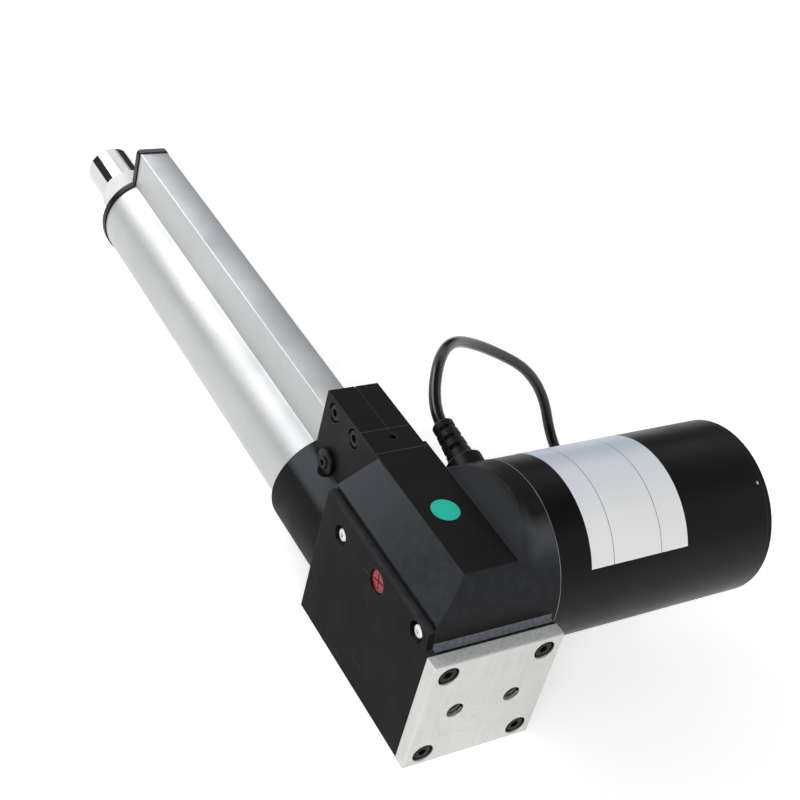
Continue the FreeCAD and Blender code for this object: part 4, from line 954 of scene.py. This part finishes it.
# upper end of the left slope, carried on to the clamp block
slopeEndLook = {
    "start": [  # just inside the moulded slope
        (-0.02338, 0.064, 0.0333), (-0.01148, 0.064, 0.0333),
        (-0.01148, 0.064, ridgeTop), (-0.02338, 0.064, 0.03561),
    ],
    "end": [  # at the block's foot
        (-0.02342, 0.0842, 0.0333), (-0.01148, 0.0799, 0.0333),
        (-0.01148, 0.0799, ridgeTop + 0.0001), (-0.02342, 0.0842, 0.03566),
    ],
    "flat": 0.002,  # radians between faces that join
}
bm = bmesh.new()
for corner in slopeEndLook["start"] + slopeEndLook["end"]:
    bm.verts.new(corner)
bmesh.ops.convex_hull(bm, input=bm.verts[:])
bmesh.ops.dissolve_limit(bm, angle_limit=slopeEndLook["flat"], verts=bm.verts[:], edges=bm.edges[:])
addPiece("slope_upper_end", bm, finishes["housing_black"], "housing")

# faint raised mould lines across the ridge
mouldLook = {
    "half": 0.00016, "proud": 0.00007, "round": 0.00004,
    "bars": [(0.0948, -0.0114, 0.0100), (0.0822, -0.0114, 0.0112)],  # y, then both ends in x
    "base": (0.016, 0.016, 0.017), "tone": (0.036, 0.036, 0.038),
    "patch": 300.0, "rough": (0.4, 0.5), "grain": (1900.0, 0.00002),
}
bm = bmesh.new()
for along, left, right in mouldLook["bars"]:
    bar = bmesh.ops.create_cube(bm, size=1.0)["verts"]
    bmesh.ops.scale(bm, vec=(right - left, 2 * mouldLook["half"], 2 * mouldLook["proud"]), verts=bar)
    bmesh.ops.translate(bm, vec=((left + right) / 2, along, ridgeTop), verts=bar)
bmesh.ops.bevel(bm, geom=bm.edges[:], offset=mouldLook["round"], offset_type="OFFSET", affect="EDGES",
                segments=1, profile=0.5, material=-1)
addPiece("ridge_mould_lines", bm, makeFinish("mould_line", mouldLook), "housing")
print("label, sticker, threads and lines made")

# floor and light
stageLook = {
    "floorHeight": -0.0266,
    "floorSize": 40.0,
    "floorMiddle": 0.1,  # along y
    "floorColour": (0.86, 0.86, 0.86),
    "floorRough": 0.9,
    "lift": 0.5,  # what the camera and mirrors see above the floor's own light
}
skyLook = {
    "horizon": 0.25,
    "ring": 1.2,  # brightest a third of the way up
    "ringRise": (0.36, 0.50),  # each pair: where one tone starts to change, and where the next is full
    "zenith": 0.09,  # darker overhead
    "zenithRise": (0.58, 0.76),
    "backdrop": 0.86,  # pale wall behind the floor, as bright as the floor's far end
    "backdropTop": (0.34, 0.42),
    "flag": 0.045,
    "flagSide": (0.36, 0.42),
    "flagBack": (0.45, 0.55),
}


# rays that show the background itself
def seenRays(tree):
    rays = put(tree, "LightPath")
    seen = rays.outputs["Is Camera Ray"]
    for kind in ("Is Glossy Ray", "Is Transmission Ray"):
        most = put(tree, "Math", operation="MAXIMUM")
        tree.links.new(seen, most.inputs[0])
        tree.links.new(rays.outputs[kind], most.inputs[1])
        seen = most.outputs["Value"]
    return seen


bm = bmesh.new()
bmesh.ops.create_grid(bm, x_segments=1, y_segments=1, size=stageLook["floorSize"] / 2)
bmesh.ops.translate(bm, vec=(0, stageLook["floorMiddle"], stageLook["floorHeight"]), verts=bm.verts)
floorMesh = bpy.data.meshes.new("floor")
bm.to_mesh(floorMesh)
bm.free()
floor = bpy.data.objects.new("floor", floorMesh)
scene.collection.objects.link(floor)
floorPaint = bpy.data.materials.new("floorPaint")
floorPaint.use_nodes = True
tree = floorPaint.node_tree
shader = tree.nodes["Principled BSDF"]
shader.inputs["Base Color"].default_value = (*stageLook["floorColour"], 1)
shader.inputs["Roughness"].default_value = stageLook["floorRough"]
shader.inputs["Specular IOR Level"].default_value = 0.0
glow = spread(tree, seenRays(tree), 0.0, stageLook["lift"], 0.0, 1.0)
tree.links.new(glow, shader.inputs["Emission Strength"])
shader.inputs["Emission Color"].default_value = (1, 1, 1, 1)
floorMesh.materials.append(floorPaint)

world = bpy.data.worlds.new("studio")
scene.world = world
world.use_nodes = True
tree = world.node_tree
sky = tree.nodes["Background"]
sky.inputs["Color"].default_value = (1, 1, 1, 1)
direction = put(tree, "TexCoord")
heading = put(tree, "SeparateXYZ")
tree.links.new(direction.outputs["Generated"], heading.inputs["Vector"])
height = heading.outputs["Z"]
lowSky = spread(tree, height, skyLook["horizon"], skyLook["ring"], *skyLook["ringRise"])
studio = spread(tree, height, lowSky, skyLook["zenith"], *skyLook["zenithRise"])
# a dark flag on each side at the back gives the bright metal its dark lines
sideways = put(tree, "Math", operation="ABSOLUTE")
tree.links.new(heading.outputs["X"], sideways.inputs[0])
flags = put(tree, "Math", operation="MULTIPLY")
toSide = spread(tree, sideways.outputs["Value"], 0.0, 1.0, *skyLook["flagSide"])
toBack = spread(tree, heading.outputs["Y"], 0.0, 1.0, *skyLook["flagBack"])
tree.links.new(toSide, flags.inputs[0])
tree.links.new(toBack, flags.inputs[1])
wall = spread(tree, flags.outputs["Value"], skyLook["backdrop"], skyLook["flag"], 0.0, 1.0)
shown = spread(tree, height, wall, studio, *skyLook["backdropTop"])
tree.links.new(spread(tree, seenRays(tree), studio, shown, 0.0, 1.0), sky.inputs["Strength"])

lampAim = (0.03, 0.14, 0.02)
softboxes = [
    {"name": "back_left_box", "place": (-0.65, 1.45, 0.95), "wide": 1.2, "tall": 0.85, "power": 10.5},
    {"name": "front_left_box", "place": (-0.9, -1.0, 1.1), "wide": 1.1, "tall": 1.1, "power": 13.0},
]
for box in softboxes:
    lamp = bpy.data.lights.new(box["name"], "AREA")
    lamp.shape = "RECTANGLE"
    lamp.size = box["wide"]
    lamp.size_y = box["tall"]
    lamp.energy = box["power"]
    holder = bpy.data.objects.new(box["name"], lamp)
    aim = Vector(lampAim) - Vector(box["place"])
    turn = aim.to_track_quat("-Z", "Y").to_matrix().to_4x4()
    holder.matrix_world = Matrix.Translation(box["place"]) @ turn
    scene.collection.objects.link(holder)
print("floor and light set")
